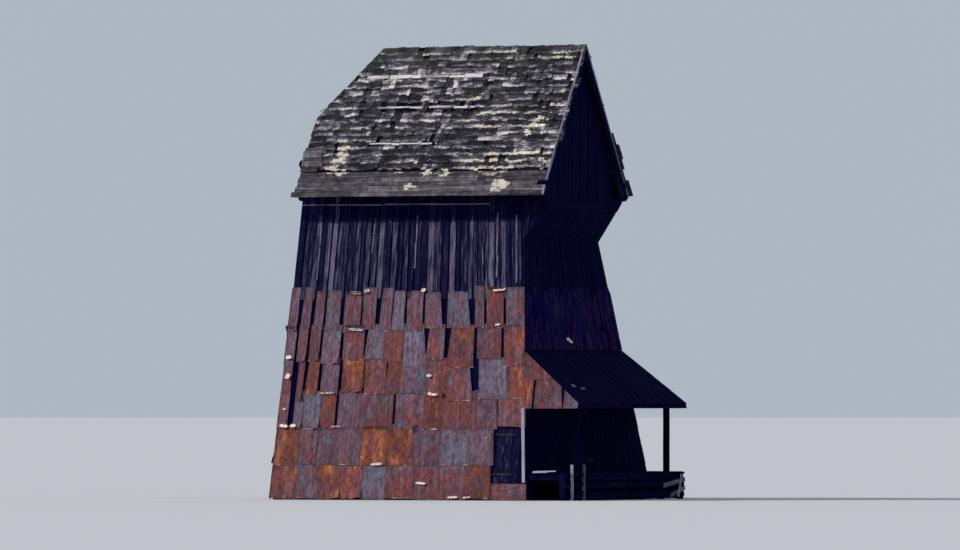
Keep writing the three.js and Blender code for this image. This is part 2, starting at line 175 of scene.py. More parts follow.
def weathered_wood(name, dark, middle, light, along=None, painted_eave_porch_shade=0.0):
    """Old bare wood, its grain along the piece or along x, y or z, with the eave's shadow and the porch end's
    shade painted in, as strongly as the last argument says.
    """
    made, tree, shader = fresh(name)
    where = add(tree, "ShaderNodeTexCoord", out="Object")
    if along:
        place = where
        tone = add(tree, "ShaderNodeTexNoise", {"Vector": place, "Scale": 0.7})
        fine_scale = [1.7 if axis == along else 45 for axis in "xyz"]
        broad_scale = [0.8 if axis == along else 4 for axis in "xyz"]
    else:
        place = add(tree, "ShaderNodeUVMap", uv_map="flat")
        tone = add(tree, "ShaderNodeAttribute", attribute_name="tone", out="Fac")
        fine_scale, broad_scale = (60, 1.6, 1), (9, 1.9, 1)
    depth = add(tree, "ShaderNodeMath", {0: tone, 1: 0.0 if along else 53.0}, operation="MULTIPLY")
    fine = add(tree, "ShaderNodeMapping", {"Vector": place, "Scale": fine_scale})
    lines = add(
        tree,
        "ShaderNodeTexNoise",
        {"Vector": fine, "W": depth, "Scale": 1.0, "Detail": 5.0, "Roughness": 0.6},
        noise_dimensions="4D",
    )
    broad = add(tree, "ShaderNodeMapping", {"Vector": place, "Scale": broad_scale})
    blotch = add(
        tree,
        "ShaderNodeTexNoise",
        {"Vector": broad, "W": depth, "Scale": 1.0, "Detail": 5.0, "Roughness": 0.6},
        noise_dimensions="4D",
    )
    shade = add(tree, "ShaderNodeMath", {0: lines, 1: 1.3, 2: -1.05}, operation="MULTIPLY_ADD")
    shade = add(tree, "ShaderNodeMath", {0: blotch, 1: 1.3, 2: shade}, operation="MULTIPLY_ADD")
    shade = add(tree, "ShaderNodeMath", {0: tone, 1: 0.65, 2: shade}, operation="MULTIPLY_ADD")
    # Painted shade: the wood darkens below the eave, where its shadow falls, with a small step from board to
    # board, and all over the porch end, which faces away from the sun.
    if painted_eave_porch_shade:
        height = add(tree, "ShaderNodeSeparateXYZ", {"Vector": where}, out="Z")
        reach = add(tree, "ShaderNodeSeparateXYZ", {"Vector": where}, out="X")
        rise = add(tree, "ShaderNodeMath", {0: tone, 1: 0.10, 2: height}, operation="MULTIPLY_ADD")
        eave = add(
            tree,
            "ShaderNodeMapRange",
            {"Value": rise, "From Min": EAVE_SHADE[0], "From Max": EAVE_SHADE[1]},
        )
        past = add(
            tree, "ShaderNodeMath", {0: height, 1: PORCH_BATTER, 2: reach}, operation="MULTIPLY_ADD"
        )
        porch = add(
            tree,
            "ShaderNodeMapRange",
            {"Value": past, "From Min": PORCH_SHADE[0], "From Max": PORCH_SHADE[1]},
        )
        eave_porch_shade_mask = add(tree, "ShaderNodeMath", {0: eave, 1: porch}, operation="MAXIMUM")
        shade = add(tree, "ShaderNodeMath", {0: eave_porch_shade_mask, 1: -painted_eave_porch_shade, 2: shade}, operation="MULTIPLY_ADD")
    colour = add(
        tree, "ShaderNodeValToRGB", {"Fac": shade}, stops=[(0.12, dark), (0.5, middle), (0.95, light)]
    )
    tree.links.new(colour, shader.inputs["Base Color"])
    bump = add(tree, "ShaderNodeBump", {"Height": lines, "Distance": 0.004, "Strength": 0.8})
    tree.links.new(bump, shader.inputs["Normal"])
    shader.inputs["Roughness"].default_value = 0.86
    shader.inputs["Specular IOR Level"].default_value = 0.02
    return made


# SHADED is spruce darkened to navy: a copy of the wood that paints the shade on pieces out of the sun. The
# navy at SPRUCE's dark end paints the blue of deep shade.
SPRUCE = ("#03032C", "#191936", "#6A6880")
SILVER = ("#393749", "#6A6879", "#9C9AAC")
OAK = ("#0B0912", "#211E2B", "#4E4A5A")
SHADED = ("#01011F", "#03032A", "#111138")
bare_boards = weathered_wood("weathered_spruce_boards", *SPRUCE, painted_eave_porch_shade=0.30)
silver_boards = weathered_wood("silvered_oak_board", *SILVER)
shaded_boards = weathered_wood("shaded_spruce_boards", *SHADED)
lath_wood = weathered_wood("bleached_spruce_laths", "#68666E", "#96949C", "#C8C6CA")
spruce_along = {axis: weathered_wood("spruce_along_" + axis, *SPRUCE, along=axis) for axis in "xz"}
oak_along = {axis: weathered_wood("hewn_oak_along_" + axis, *OAK, along=axis) for axis in "xyz"}
silver_along_z = weathered_wood("silvered_oak_along_z", *SILVER, along="z")
# The near-black wood under the shingles, which shows through gaps and under the verges, is painted shade.
roof_underlay = weathered_wood("painted_shade_roof_spruce", "#020208", "#0B0A17", "#201E2C", along="x")
shaded_along = {axis: weathered_wood("shaded_spruce_along_" + axis, *SHADED, along=axis) for axis in "xz"}
print(len(bpy.data.materials), "materials so far, paper and woods")


# %% [markdown]
# The sheets are thin steel that was galvanised or painted once. Where the coat lasted they are mauve-grey,
# where it went they are red-brown, and the newest rust is orange. Photographs of rust could be laid over
# them, but noise never repeats from sheet to sheet. Patches of about half a metre say how far the rust has
# come, and rougher blotches of about 8 cm lie in the oldest of them.

# %% Rust in patches
def rust_coat(tree, place, own, tone, depth, bared):
    """The colour of coat and rust. Gives it, and the noise of the patches and of the blotches."""
    patch = add(
        tree,
        "ShaderNodeTexNoise",
        {"Vector": own, "W": depth, "Scale": 2.0, "Detail": 4.0, "Roughness": 0.52},
        noise_dimensions="4D",
    )
    age = add(tree, "ShaderNodeMath", {0: patch, 1: 1.5, 2: -0.70}, operation="MULTIPLY_ADD")
    age = add(tree, "ShaderNodeMath", {0: tone, 1: 0.8, 2: age}, operation="MULTIPLY_ADD")
    age = add(
        tree, "ShaderNodeMath", {0: bared, 1: -2.0, 2: age}, operation="MULTIPLY_ADD", use_clamp=True
    )
    coat = add(
        tree,
        "ShaderNodeValToRGB",
        {"Fac": age},
        stops=[
            (0.0, "#605D72"),
            (0.12, "#5E5067"),
            (0.26, "#5B4456"),
            (0.40, "#5F3B48"),
            (0.54, "#67363C"),
            (0.66, "#713A33"),
            (0.80, "#83452D"),
            (0.96, "#9B6038"),
        ],
    )
    blotch = add(
        tree, "ShaderNodeTexNoise", {"Vector": place, "Scale": 13.0, "Detail": 8.0, "Roughness": 0.7}
    )
    spots = add(tree, "ShaderNodeMapRange", {"Value": blotch, "From Min": 0.5, "From Max": 0.68})
    thick = add(tree, "ShaderNodeMath", {0: age, 1: 0.55, 2: 0.08}, operation="MULTIPLY_ADD")
    spots = add(tree, "ShaderNodeMath", {0: spots, 1: thick}, operation="MULTIPLY")
    colour = add(
        tree, "ShaderNodeMix", {"Factor": spots, 6: coat, 7: linear("#7A4233")}, data_type="RGBA", out=2
    )
    return colour, patch, blotch


# %% [markdown]
# Rain washes chalk out of the coat and dirt out of the laps, and both run down the sheet in streaks about
# 15 cm wide. One stretched noise draws both, so that they lie beside each other as on the wall: chalk where
# it is low, dirt where it is high. The rim of each sheet is darker, from dirt in the laps.

# %% Run-off
def run_off(tree, colour, own, depth, rim):
    """Streaks of chalk and dirt over the colour. Gives it, and the noise of the streaks."""
    run = add(tree, "ShaderNodeMapping", {"Vector": own, "Scale": (6.5, 1.6, 1)})
    streak = add(
        tree,
        "ShaderNodeTexNoise",
        {"Vector": run, "W": depth, "Scale": 1.0, "Detail": 4.0, "Roughness": 0.5},
        noise_dimensions="4D",
    )
    chalk = add(
        tree, "ShaderNodeMapRange", {"Value": streak, "From Min": 0.46, "From Max": 0.30, "To Max": 0.28}
    )
    colour = add(
        tree, "ShaderNodeMix", {"Factor": chalk, 6: colour, 7: linear("#87737F")}, data_type="RGBA", out=2
    )
    dirt = add(
        tree, "ShaderNodeMapRange", {"Value": streak, "From Min": 0.48, "From Max": 0.70, "To Max": 0.52}
    )
    dirt = add(tree, "ShaderNodeMath", {0: rim, 1: 0.28, 2: dirt}, operation="MULTIPLY_ADD")
    dirt = add(tree, "ShaderNodeMath", {0: dirt, 1: 0.85}, operation="MINIMUM")
    colour = add(
        tree, "ShaderNodeMix", {"Factor": dirt, 6: colour, 7: linear("#21141F")}, data_type="RGBA", out=2
    )
    return colour, streak


# %% [markdown]
# A buckled sheet takes the light unevenly, and no two sheets have faded alike. Real buckles that small
# would need a very fine mesh, so a noise laid aslant, of about 12 cm, brightens and darkens the colour in
# their place, and each sheet adds a number of its own.

# %% Fading and painted buckle light
def fading_and_buckle_light(tree, colour, own, depth, patch):
    """The colour with the painted light and shade of small buckles, and faded differently from sheet to
    sheet.
    """
    turned = add(tree, "ShaderNodeMath", {0: depth, 1: 17.0}, operation="ADD")
    aslant = add(
        tree,
        "ShaderNodeMapping",
        {"Vector": own, "Rotation": (0, 0, math.radians(28)), "Scale": (9.5, 7.0, 1)},
    )
    light = add(
        tree,
        "ShaderNodeTexNoise",
        {"Vector": aslant, "W": turned, "Scale": 1.0, "Detail": 3.0, "Roughness": 0.6},
        noise_dimensions="4D",
    )
    light = add(
        tree,
        "ShaderNodeMapRange",
        {"Value": light, "From Min": 0.32, "From Max": 0.68, "To Min": 0.45, "To Max": 1.45},
    )
    faded = add(tree, "ShaderNodeTexWhiteNoise", {"W": depth}, noise_dimensions="1D")
    faded = add(tree, "ShaderNodeMath", {0: faded, 1: 0.42, 2: 0.45}, operation="MULTIPLY_ADD")
    faded = add(tree, "ShaderNodeMath", {0: patch, 1: 0.64, 2: faded}, operation="MULTIPLY_ADD")
    light = add(tree, "ShaderNodeMath", {0: light, 1: faded}, operation="MULTIPLY")
    colour = add(tree, "ShaderNodeHueSaturation", {"Value": light, "Color": colour})
    return colour


# %% [markdown]
# The foot of a sheet is lightened, partly where it rubs bare in the wind and partly as a painted highlight
# along the lap edge. A torn corner shows its zinc, the palest thing on the wall.
# A tone above one says how bare a piece is, so the torn corners can share the finish of the sheets.

# %% Bare metal
def bare_metal(tree, colour, place, own, blotch, bared):
    """Scuffs, feet lightened partly by rubbing and partly as a painted highlight, and torn corners over the
    colour.
    """
    bright = add(tree, "ShaderNodeMath", {0: blotch, 1: 1.9, 2: bared}, operation="MULTIPLY_ADD")
    bright = add(tree, "ShaderNodeMapRange", {"Value": bright, "From Min": 1.35, "From Max": 1.75})
    scuff = add(
        tree, "ShaderNodeTexNoise", {"Vector": place, "Scale": 5.5, "Detail": 10.0, "Roughness": 0.75}
    )
    # The foot is lightened: partly rubbed bare, partly a painted highlight where the lap edge catches the
    # light.
    foot = add(tree, "ShaderNodeSeparateXYZ", {"Vector": own}, out="Y")
    foot = add(
        tree, "ShaderNodeMapRange", {"Value": foot, "From Min": 0.035, "From Max": 0.012, "To Max": 0.10}
    )
    scuff = add(tree, "ShaderNodeMath", {0: scuff, 1: foot}, operation="ADD")
    scuff = add(
        tree, "ShaderNodeMapRange", {"Value": scuff, "From Min": 0.63, "From Max": 0.73, "To Max": 0.5}
    )
    scuff = add(tree, "ShaderNodeMath", {0: scuff, 1: bright}, operation="MAXIMUM")
    colour = add(
        tree, "ShaderNodeMix", {"Factor": scuff, 6: colour, 7: linear("#DCCBCB")}, data_type="RGBA", out=2
    )
    return colour


# %% [markdown]
# All four steps together are the finish. Rust is rough and hardly shines, so the metal shows only a little.
# The porch end never sees the sun, so a dark layer of painted shade lies over its sheets, thinner along the
# run-off streaks.
# They hardly shine at all.

# %% Sheet finish
def rusty_sheet(name, painted_sheet_shade=0.0):
    """Rusted sheet. The last argument is how strongly a painted shade darkens all of it."""
    made, tree, shader = fresh(name)
    place = add(tree, "ShaderNodeTexCoord", out="Object")
    own = add(tree, "ShaderNodeUVMap", uv_map="flat")
    tone = add(tree, "ShaderNodeAttribute", attribute_name="tone", out="Fac")
    rim = add(tree, "ShaderNodeAttribute", attribute_name="rim", out="Fac")
    depth = add(tree, "ShaderNodeMath", {0: tone, 1: 91.0}, operation="MULTIPLY")
    bared = add(tree, "ShaderNodeMath", {0: tone, 1: 1.0}, operation="SUBTRACT", use_clamp=True)
    colour, patch, blotch = rust_coat(tree, place, own, tone, depth, bared)
    colour, streak = run_off(tree, colour, own, depth, rim)
    colour = fading_and_buckle_light(tree, colour, own, depth, patch)
    colour = bare_metal(tree, colour, place, own, blotch, bared)
    # Painted shade: a dark navy layer over the colour, thinner along the run-off streaks.
    if painted_sheet_shade:
        painted_sheet_shade_mask = add(
            tree,
            "ShaderNodeMath",
            {0: streak, 1: -1.6, 2: painted_sheet_shade + 0.75},
            operation="MULTIPLY_ADD",
            use_clamp=True,
        )
        colour = add(
            tree,
            "ShaderNodeMix",
            {"Factor": painted_sheet_shade_mask, 6: colour, 7: linear("#02033A")},
            data_type="RGBA",
            out=2,
        )
    tree.links.new(colour, shader.inputs["Base Color"])
    bump = add(tree, "ShaderNodeBump", {"Height": blotch, "Distance": 0.003, "Strength": 0.2})
    tree.links.new(bump, shader.inputs["Normal"])
    shader.inputs["Roughness"].default_value = 0.9 if painted_sheet_shade else 0.76
    shader.inputs["Metallic"].default_value = 0.0 if painted_sheet_shade else 0.1
    shader.inputs["Specular IOR Level"].default_value = 0.02 if painted_sheet_shade else 0.25
    return made


rust = rusty_sheet("rusted_galvanised_sheet")
# A copy with painted shade over it, for the porch end, which faces away from the sun.
shaded_rust = rusty_sheet("shade_darkened_sheet", painted_sheet_shade=0.97)
print("sheets:", rust.name, "and", shaded_rust.name)


# %% [markdown]
# Forged iron that has stood outside for a century is dark brown, with lighter rust in blotches of 2 to 3
# cm. The hammer left it uneven, so it shines only here and there, and half of what it gives back is still
# metal.

# %% Forged iron
def forged_iron():
    """Iron under a brown skin of rust."""
    made, tree, shader = fresh("forged_iron")
    place = add(tree, "ShaderNodeTexCoord", out="Object")
    blotch = add(tree, "ShaderNodeTexNoise", {"Vector": place, "Scale": 40.0, "Detail": 6.0})
    colour = add(
        tree,
        "ShaderNodeValToRGB",
        {"Fac": blotch},
        stops=[(0.35, "#15121A"), (0.55, "#221B20"), (0.72, "#3E2C28")],
    )
    tree.links.new(colour, shader.inputs["Base Color"])
    bump = add(tree, "ShaderNodeBump", {"Height": blotch, "Distance": 0.002})
    tree.links.new(bump, shader.inputs["Normal"])
    shader.inputs["Roughness"].default_value = 0.7
    shader.inputs["Metallic"].default_value = 0.5
    return made


iron = forged_iron()
print("materials:", ", ".join(m.name for m in bpy.data.materials))

# %% [markdown]
# Every piece is made with the same few tools. Clearing the selection matters, since an operator acts on all
# that is selected. Sawing is the bisect operator with its cut filled, which leaves a closed end where a
# boolean might leave slivers. A copy gets its own mesh, set in place by a matrix, with its own tone. Many
# copies are joined to one piece, which is then hung in its place.

# %% Workshop tools
def pick(*chosen):
    """Leaves only these objects selected, the last one active."""
    bpy.ops.object.select_all(action="DESELECT")
    for item in chosen:
        item.select_set(True)
    bpy.context.view_layer.objects.active = chosen[-1]


def edit(item, where=None):
    """Opens a mesh for editing, with all of it selected, or only the points for which where holds."""
    pick(item)
    bpy.ops.object.mode_set(mode="EDIT")
    bpy.ops.mesh.select_mode(type="VERT")
    bpy.ops.mesh.select_all(action="SELECT")
    if where:
        bpy.ops.mesh.select_all(action="DESELECT")
        bpy.ops.object.mode_set(mode="OBJECT")
        for point in item.data.vertices:
            point.select = bool(where(point.co))
        bpy.ops.object.mode_set(mode="EDIT")


def shut():
    """Closes the mesh that is open for editing."""
    bpy.ops.object.mode_set(mode="OBJECT")


def saw(item, point, normal):
    """Cuts a piece along a plane, takes off what lies beyond it and closes the cut."""
    edit(item)
    away = Vector(normal).normalized()
    bpy.ops.mesh.bisect(plane_co=point, plane_no=away, clear_outer=True, use_fill=True)
    shut()


def saw_line(item, start, end):
    """Saws along a line of the bench, given by x and z, and takes off what lies to its right."""
    saw(item, (start[0], 0, start[1]), (end[1] - start[1], 0, start[0] - end[0]))


def placed(name):
    """Names the primitive that was just added, and applies its place and turn to its mesh."""
    item = bpy.context.object
    item.name = name
    bpy.ops.object.transform_apply(location=True, rotation=True, scale=True)
    return item


def mirrored(item):
    """Mirrors a piece across the bench and turns its faces outwards again."""
    edit(item)
    bpy.ops.transform.mirror(constraint_axis=(True, False, False), center_override=(0, 0, 0))
    bpy.ops.mesh.normals_make_consistent(inside=False)
    shut()


def finish(item, **modifiers):
    """Adds the named modifiers in order and applies each."""
    pick(item)
    for kind, settings in modifiers.items():
        modifier = item.modifiers.new(kind, kind)
        for name, value in settings.items():
            setattr(modifier, name, value)
        bpy.ops.object.modifier_apply(modifier=kind)
    return item


def lay_flat_map(item):
    """Writes each corner's own x and z to the map that grain is read from."""
    mesh = item.data
    layer = mesh.uv_layers.get("flat") or mesh.uv_layers.new(name="flat")
    for loop in mesh.loops:
        spot = mesh.vertices[loop.vertex_index].co
        layer.uv[loop.index].vector = (spot.x + 0.3 * spot.y, spot.z)
    for other in [u for u in mesh.uv_layers if u.name != "flat"]:
        mesh.uv_layers.remove(other)
    return item


def copied(model, matrix, tone):
    """A copy of a model with its own mesh, set in place by a matrix, with its own tone."""
    mesh = model.data.copy()
    mesh.transform(matrix)
    shade = mesh.attributes.new("tone", "FLOAT", "POINT")
    shade.data.foreach_set("value", [tone] * len(mesh.vertices))
    item = bpy.data.objects.new(model.name + "_copy", mesh)
    bpy.context.scene.collection.objects.link(item)
    return item


def joined(name, parts):
    """Joins parts into one named piece."""
    pick(*parts)
    bpy.ops.object.join()
    item = bpy.context.object
    item.name = item.data.name = name
    return item


def hang(item, matrix, material, *replaced, body="mill", slot=None):
    """Moves a finished piece to its place, gives it its material and its body."""
    item.data.transform(matrix)
    item.data.materials.clear()
    item.data.materials.append(material)
    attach(item, body)
    if replaced:
        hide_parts(*replaced)
    print(item.name, len(item.data.polygons), "faces")
    return item


def reaching(start, end, face):
    """Where an upright piece goes: its foot at start, its head towards end, its weather side to face."""
    z = (Vector(end) - Vector(start)).normalized()
    x = z.cross(Vector(face)).normalized()
    y = z.cross(x)
    turn = Matrix((x, y, z)).transposed().to_4x4()
    return Matrix.Translation(start) @ turn


def bin_models(*models):
    """Throws away models that have been copied."""
    for model in models:
        bpy.data.objects.remove(model)


HERE = Matrix.Identity(4)


# %% [markdown]
# Every wall leans in, each by its own batter. Boards could be built up where they hang, but every cut would
# then be aslant in space. A wall is therefore worked flat on the bench, x across and z up its slope with
# the weather side towards -y, sawn to its outline, and then set in place by one matrix.

# %% The four walls' places
CENTRE_X = -0.485
HALF_LENGTH = 3.7775
HALF_DEPTH = 3.725
SIDE_BATTER = 0.2213
BACK_BATTER = 0.0065
SHEET_TOP = 5.55


def wall_place(turn, reach, batter, foot=0.0):
    """Where a wall goes that faces turn degrees round, its foot reach metres out, leaning in by batter."""
    lean = Matrix.Rotation(-math.atan(batter), 4, "X")
    spin = Matrix.Rotation(math.radians(turn), 4, "Z")
    return Matrix.Translation((CENTRE_X, 0, 0)) @ spin @ Matrix.Translation((0, -reach, foot)) @ lean


# Each wall's place, its batter, half its width at the ground, and how fast its left and right ends close in.
WALLS = {
    "near": (wall_place(0, HALF_DEPTH, SIDE_BATTER), SIDE_BATTER, HALF_LENGTH, BACK_BATTER, PORCH_BATTER),
    "porch": (wall_place(90, HALF_LENGTH, PORCH_BATTER), PORCH_BATTER, HALF_DEPTH, SIDE_BATTER, SIDE_BATTER),
    "far": (wall_place(180, HALF_DEPTH, SIDE_BATTER), SIDE_BATTER, HALF_LENGTH, PORCH_BATTER, BACK_BATTER),
    "back": (wall_place(-90, HALF_LENGTH, BACK_BATTER), BACK_BATTER, HALF_DEPTH, SIDE_BATTER, SIDE_BATTER),
}


def up(wall, height):
    """How far up a wall's slope a real height lies."""
    return height * math.sqrt(1 + WALLS[wall][1] ** 2)


def edge(wall, side, height):
    """Where a wall ends at a real height, on its left (-1) or its right (1)."""
    _, _, half, left, right = WALLS[wall]
    return side * (half - height * (left if side < 0 else right))


def saw_to_outline(wall, item, over=0.0):
    """Saws both slanting ends of a wall, at or a little over its own ends."""
    for side in (-1, 1):
        low = (edge(wall, side, 0) + side * over, 0)
        high = (edge(wall, side, 8) + side * over, up(wall, 8))
        saw_line(item, *((low, high) if side > 0 else (high, low)))


print({wall: round(math.degrees(math.atan(row[1])), 1) for wall, row in WALLS.items()}, "degrees of lean")


# %% [markdown]
# One board is modelled three times. A cube would be too straight, so it starts as a grid that is jostled
# point by point, as a frame saw leaves an edge wavy. Solidify gives it its 24 mm, and a small bevel takes
# the sharpness off. Its copies are wider or narrower, a little higher or lower, and some stand proud of
# their neighbours, with dark gaps between.

# %% Board models
def board_model(name, width, length, thick, seed, steps=7, wobble=0.006, edge_round=0.004):
    """A board that stands on the bench, its back at y = 0."""
    bpy.ops.object.select_all(action="DESELECT")
    bpy.ops.mesh.primitive_grid_add(
        x_subdivisions=2, y_subdivisions=steps, size=1, rotation=(math.pi / 2, 0, 0)
    )
    item = placed(name)
    edit(item)
    bpy.ops.transform.translate(value=(0, 0, 0.5))
    bpy.ops.transform.resize(value=(width, 1, length), center_override=(0, 0, 0))
    bpy.ops.transform.vertex_random(offset=wobble, seed=seed)
    shut()
    finish(item, SOLIDIFY={"thickness": thick, "offset": 1.0})
    if edge_round:
        finish(item, BEVEL={"width": edge_round, "segments": 1})
    return lay_flat_map(item)


def slanted(ends, left, right, foot, top):
    """Where a board goes that covers left to right, as shares of a row whose ends close in as it rises."""
    low_left, low_right = ends(foot)
    high_left, high_right = ends(top)
    low = low_left + (low_right - low_left) * (left + right) / 2
    high = high_left + (high_right - high_left) * (left + right) / 2
    slant = Matrix(((1, 0, (high - low) / (top - foot), 0), (0, 1, 0, 0), (0, 0, 1, 0), (0, 0, 0, 1)))
    width = (right - left) * (low_right - low_left)
    return low, width, slant


def board_row(
    name, models, ends, foot, top, seed, widths=(0.15, 0.28), gap=(0.008, 0.04), ragged=0.03, shade=1.0
):
    """Boards side by side, each a copy of one of the models. Where the ends close in, the boards fan."""
    if not callable(ends):
        left_end, right_end = ends
        ends = lambda rise: (left_end, right_end)
    draw = random.Random(seed)
    parts = []
    length = max(corner[2] for corner in models[0].bound_box)
    broad = max(corner[0] for corner in models[0].bound_box) * 2
    span = ends(foot)[1] - ends(foot)[0]
    u = 0.0
    while u < 0.995:
        share = min(draw.uniform(*widths) / span, 1.0 - u)
        middle, width, slant = slanted(ends, u, u + share, foot, top)
        low = foot + draw.uniform(-ragged, ragged)
        place = Matrix.Translation((middle, 0.014 - draw.uniform(0.0, 0.016), low))
        turn = Matrix.Rotation(draw.uniform(-0.006, 0.006), 4, "Y")
        size = Matrix.Diagonal((width / broad, 1, (top - foot) / length, 1))
        model = draw.choice(models)
        parts.append(copied(model, place @ slant @ turn @ size, shade * draw.betavariate(1.6, 2.4)))
        u += share + draw.uniform(*gap) / span
    return joined(name, parts)


boards = [board_model(f"board_{i}", 0.24, 2.7, 0.024, seed=i) for i in range(3)]
print(len(boards), "board models")

# %% [markdown]
# Above the sheets all four walls show their boards, narrow ones with dark slits between. They could be cut
# from one slab, but each real board was nailed on by itself, so each is a copy. Because the wall narrows as
# it rises, a row fans: every board leans by its share of the two ends' slant. The porch end's boards lie in
# the shade, and their tone is lowered to paint that shade.

# %% Boards of the upper walls
def wall_ends(wall, over=0.0):
    """The two ends of a wall as a function of how far up its slope they are taken."""
    steep = up(wall, 1)
    return lambda rise: (edge(wall, -1, rise / steep) - over, edge(wall, 1, rise / steep) + over)


def wall_point(wall, share, height):
    """A point just outside a wall, by its share of the width and its real height."""
    left, right = wall_ends(wall)(up(wall, height))
    return left + (right - left) * share, -0.03, up(wall, height)


for wall in WALLS:
    # On the porch end the boards' tone is lowered: painted shade.
    porch_shade_factor = 0.35 if wall == "porch" else 1.0
    foot = up(wall, SHEET_TOP - 0.26)
    top = up(wall, 6.85 if wall == "porch" else 8.45)
    row = board_row(
        f"{wall}_upper_boards",
        boards,
        wall_ends(wall),
        foot,
        top,
        seed=11 + len(wall),
        widths=(0.08, 0.19),
        gap=(0.008, 0.06),
        shade=porch_shade_factor,
    )
    hang(row, WALLS[wall][0], bare_boards, slot="boards")

# %% [markdown]
# The sheets are flat steel, nailed in six rows, each row lapping the one below by a hand's width. A sheet
# could be bent by a cloth simulation, but a few known bends are enough and always come out the same: a
# grid's corners or edges are pulled out with proportional editing, as wind and a loose nail leave them.
# Nine sheets are modelled. One lies flat, three are bent along a corner or the top, one at the foot, two
# have a dent or a belly, and two are cut aslant.

# %% Sheet models
SHEET_THICK = 0.004


def sheet_model(name, seed, bends=(), buckle=0.007):
    """A sheet one metre square. A bend is a corner or edge, how it is pulled and how far that reaches."""
    bpy.ops.object.select_all(action="DESELECT")
    bpy.ops.mesh.primitive_grid_add(
        x_subdivisions=8, y_subdivisions=10, size=1, location=(0.5, 0, 0.5), rotation=(math.pi / 2, 0, 0)
    )
    item = placed(name)
    rim = item.data.attributes.new("rim", "FLOAT", "POINT")
    for point in item.data.vertices:
        inset = min(point.co.x, 1 - point.co.x, point.co.z, 1 - point.co.z)
        rim.data[point.index].value = 1.0 if inset < 0.02 else 0.0
    for where, pull, reach in bends:
        edit(item, where)
        bpy.ops.transform.translate(
            value=pull,
            use_proportional_edit=True,
            proportional_edit_falloff="SMOOTH",
            proportional_size=reach,
        )
        shut()
    edit(item)
    bpy.ops.transform.vertex_random(offset=buckle, seed=seed)
    shut()
    finish(item, SOLIDIFY={"thickness": SHEET_THICK, "offset": 1.0})
    return lay_flat_map(item)


SHEET_KINDS = {
    "flat": (1, []),
    "left_ear": (2, [(lambda p: p.x < 0.05 and p.z > 0.95, (0.05, -0.09, -0.06), 0.25)]),
    "right_ear": (3, [(lambda p: p.x > 0.95 and p.z > 0.95, (-0.05, -0.09, -0.06), 0.25)]),
    "top_lip": (4, [(lambda p: p.z > 0.98 and p.x > 0.1, (0, -0.07, -0.05), 0.13)]),
    "foot_kick": (5, [(lambda p: p.x > 0.8 and p.z < 0.05, (0, -0.05, 0.02), 0.3)]),
    "dented": (6, [(lambda p: abs(p.x - 0.4) < 0.1 and abs(p.z - 0.6) < 0.1, (0, 0.004, 0), 0.35)]),
    "belly": (7, [(lambda p: abs(p.x - 0.5) < 0.1 and abs(p.z - 0.3) < 0.1, (0, -0.03, 0), 0.45)]),
    "cut_left": (9, []),
    "cut_right": (10, []),
}
sheets = {}
for kind, (seed, bends) in SHEET_KINDS.items():
    sheets[kind] = sheet_model(f"sheet_{kind}", seed, bends)
saw_line(sheets["cut_left"], (0.17, 1), (0.0, 0))
saw_line(sheets["cut_right"], (1.0, 0), (0.83, 1))
for kind in ("cut_left", "cut_right"):
    lay_flat_map(sheets[kind])
print(len(sheets), "sheet models")

# %% [markdown]
# The near wall's sheets are set out one by one, by what was noted on the mill: where each sheet ends, as a
# share of the wall's width, how far it has rusted, from bare zinc to orange, and how wide a slit follows
# it, through which the dark boards show. A bend names a sheet that the wind has pulled. On the other walls
# all of this is drawn at random from a fixed seed.

# %% Sheets noted on the near wall
ROWS = [0.03, 0.92, 1.87, 2.76, 3.65, 4.52, SHEET_TOP]
LAP = 0.11
DOOR_LEFT, DOOR_RIGHT, DOOR_SILL, DOOR_HEAD = 2.76, 3.45, 0.45, 1.91
# A slit is the gap between two sheets, in metres. LAPPED is below zero: the next sheet lies over this one.
LAPPED = -0.03
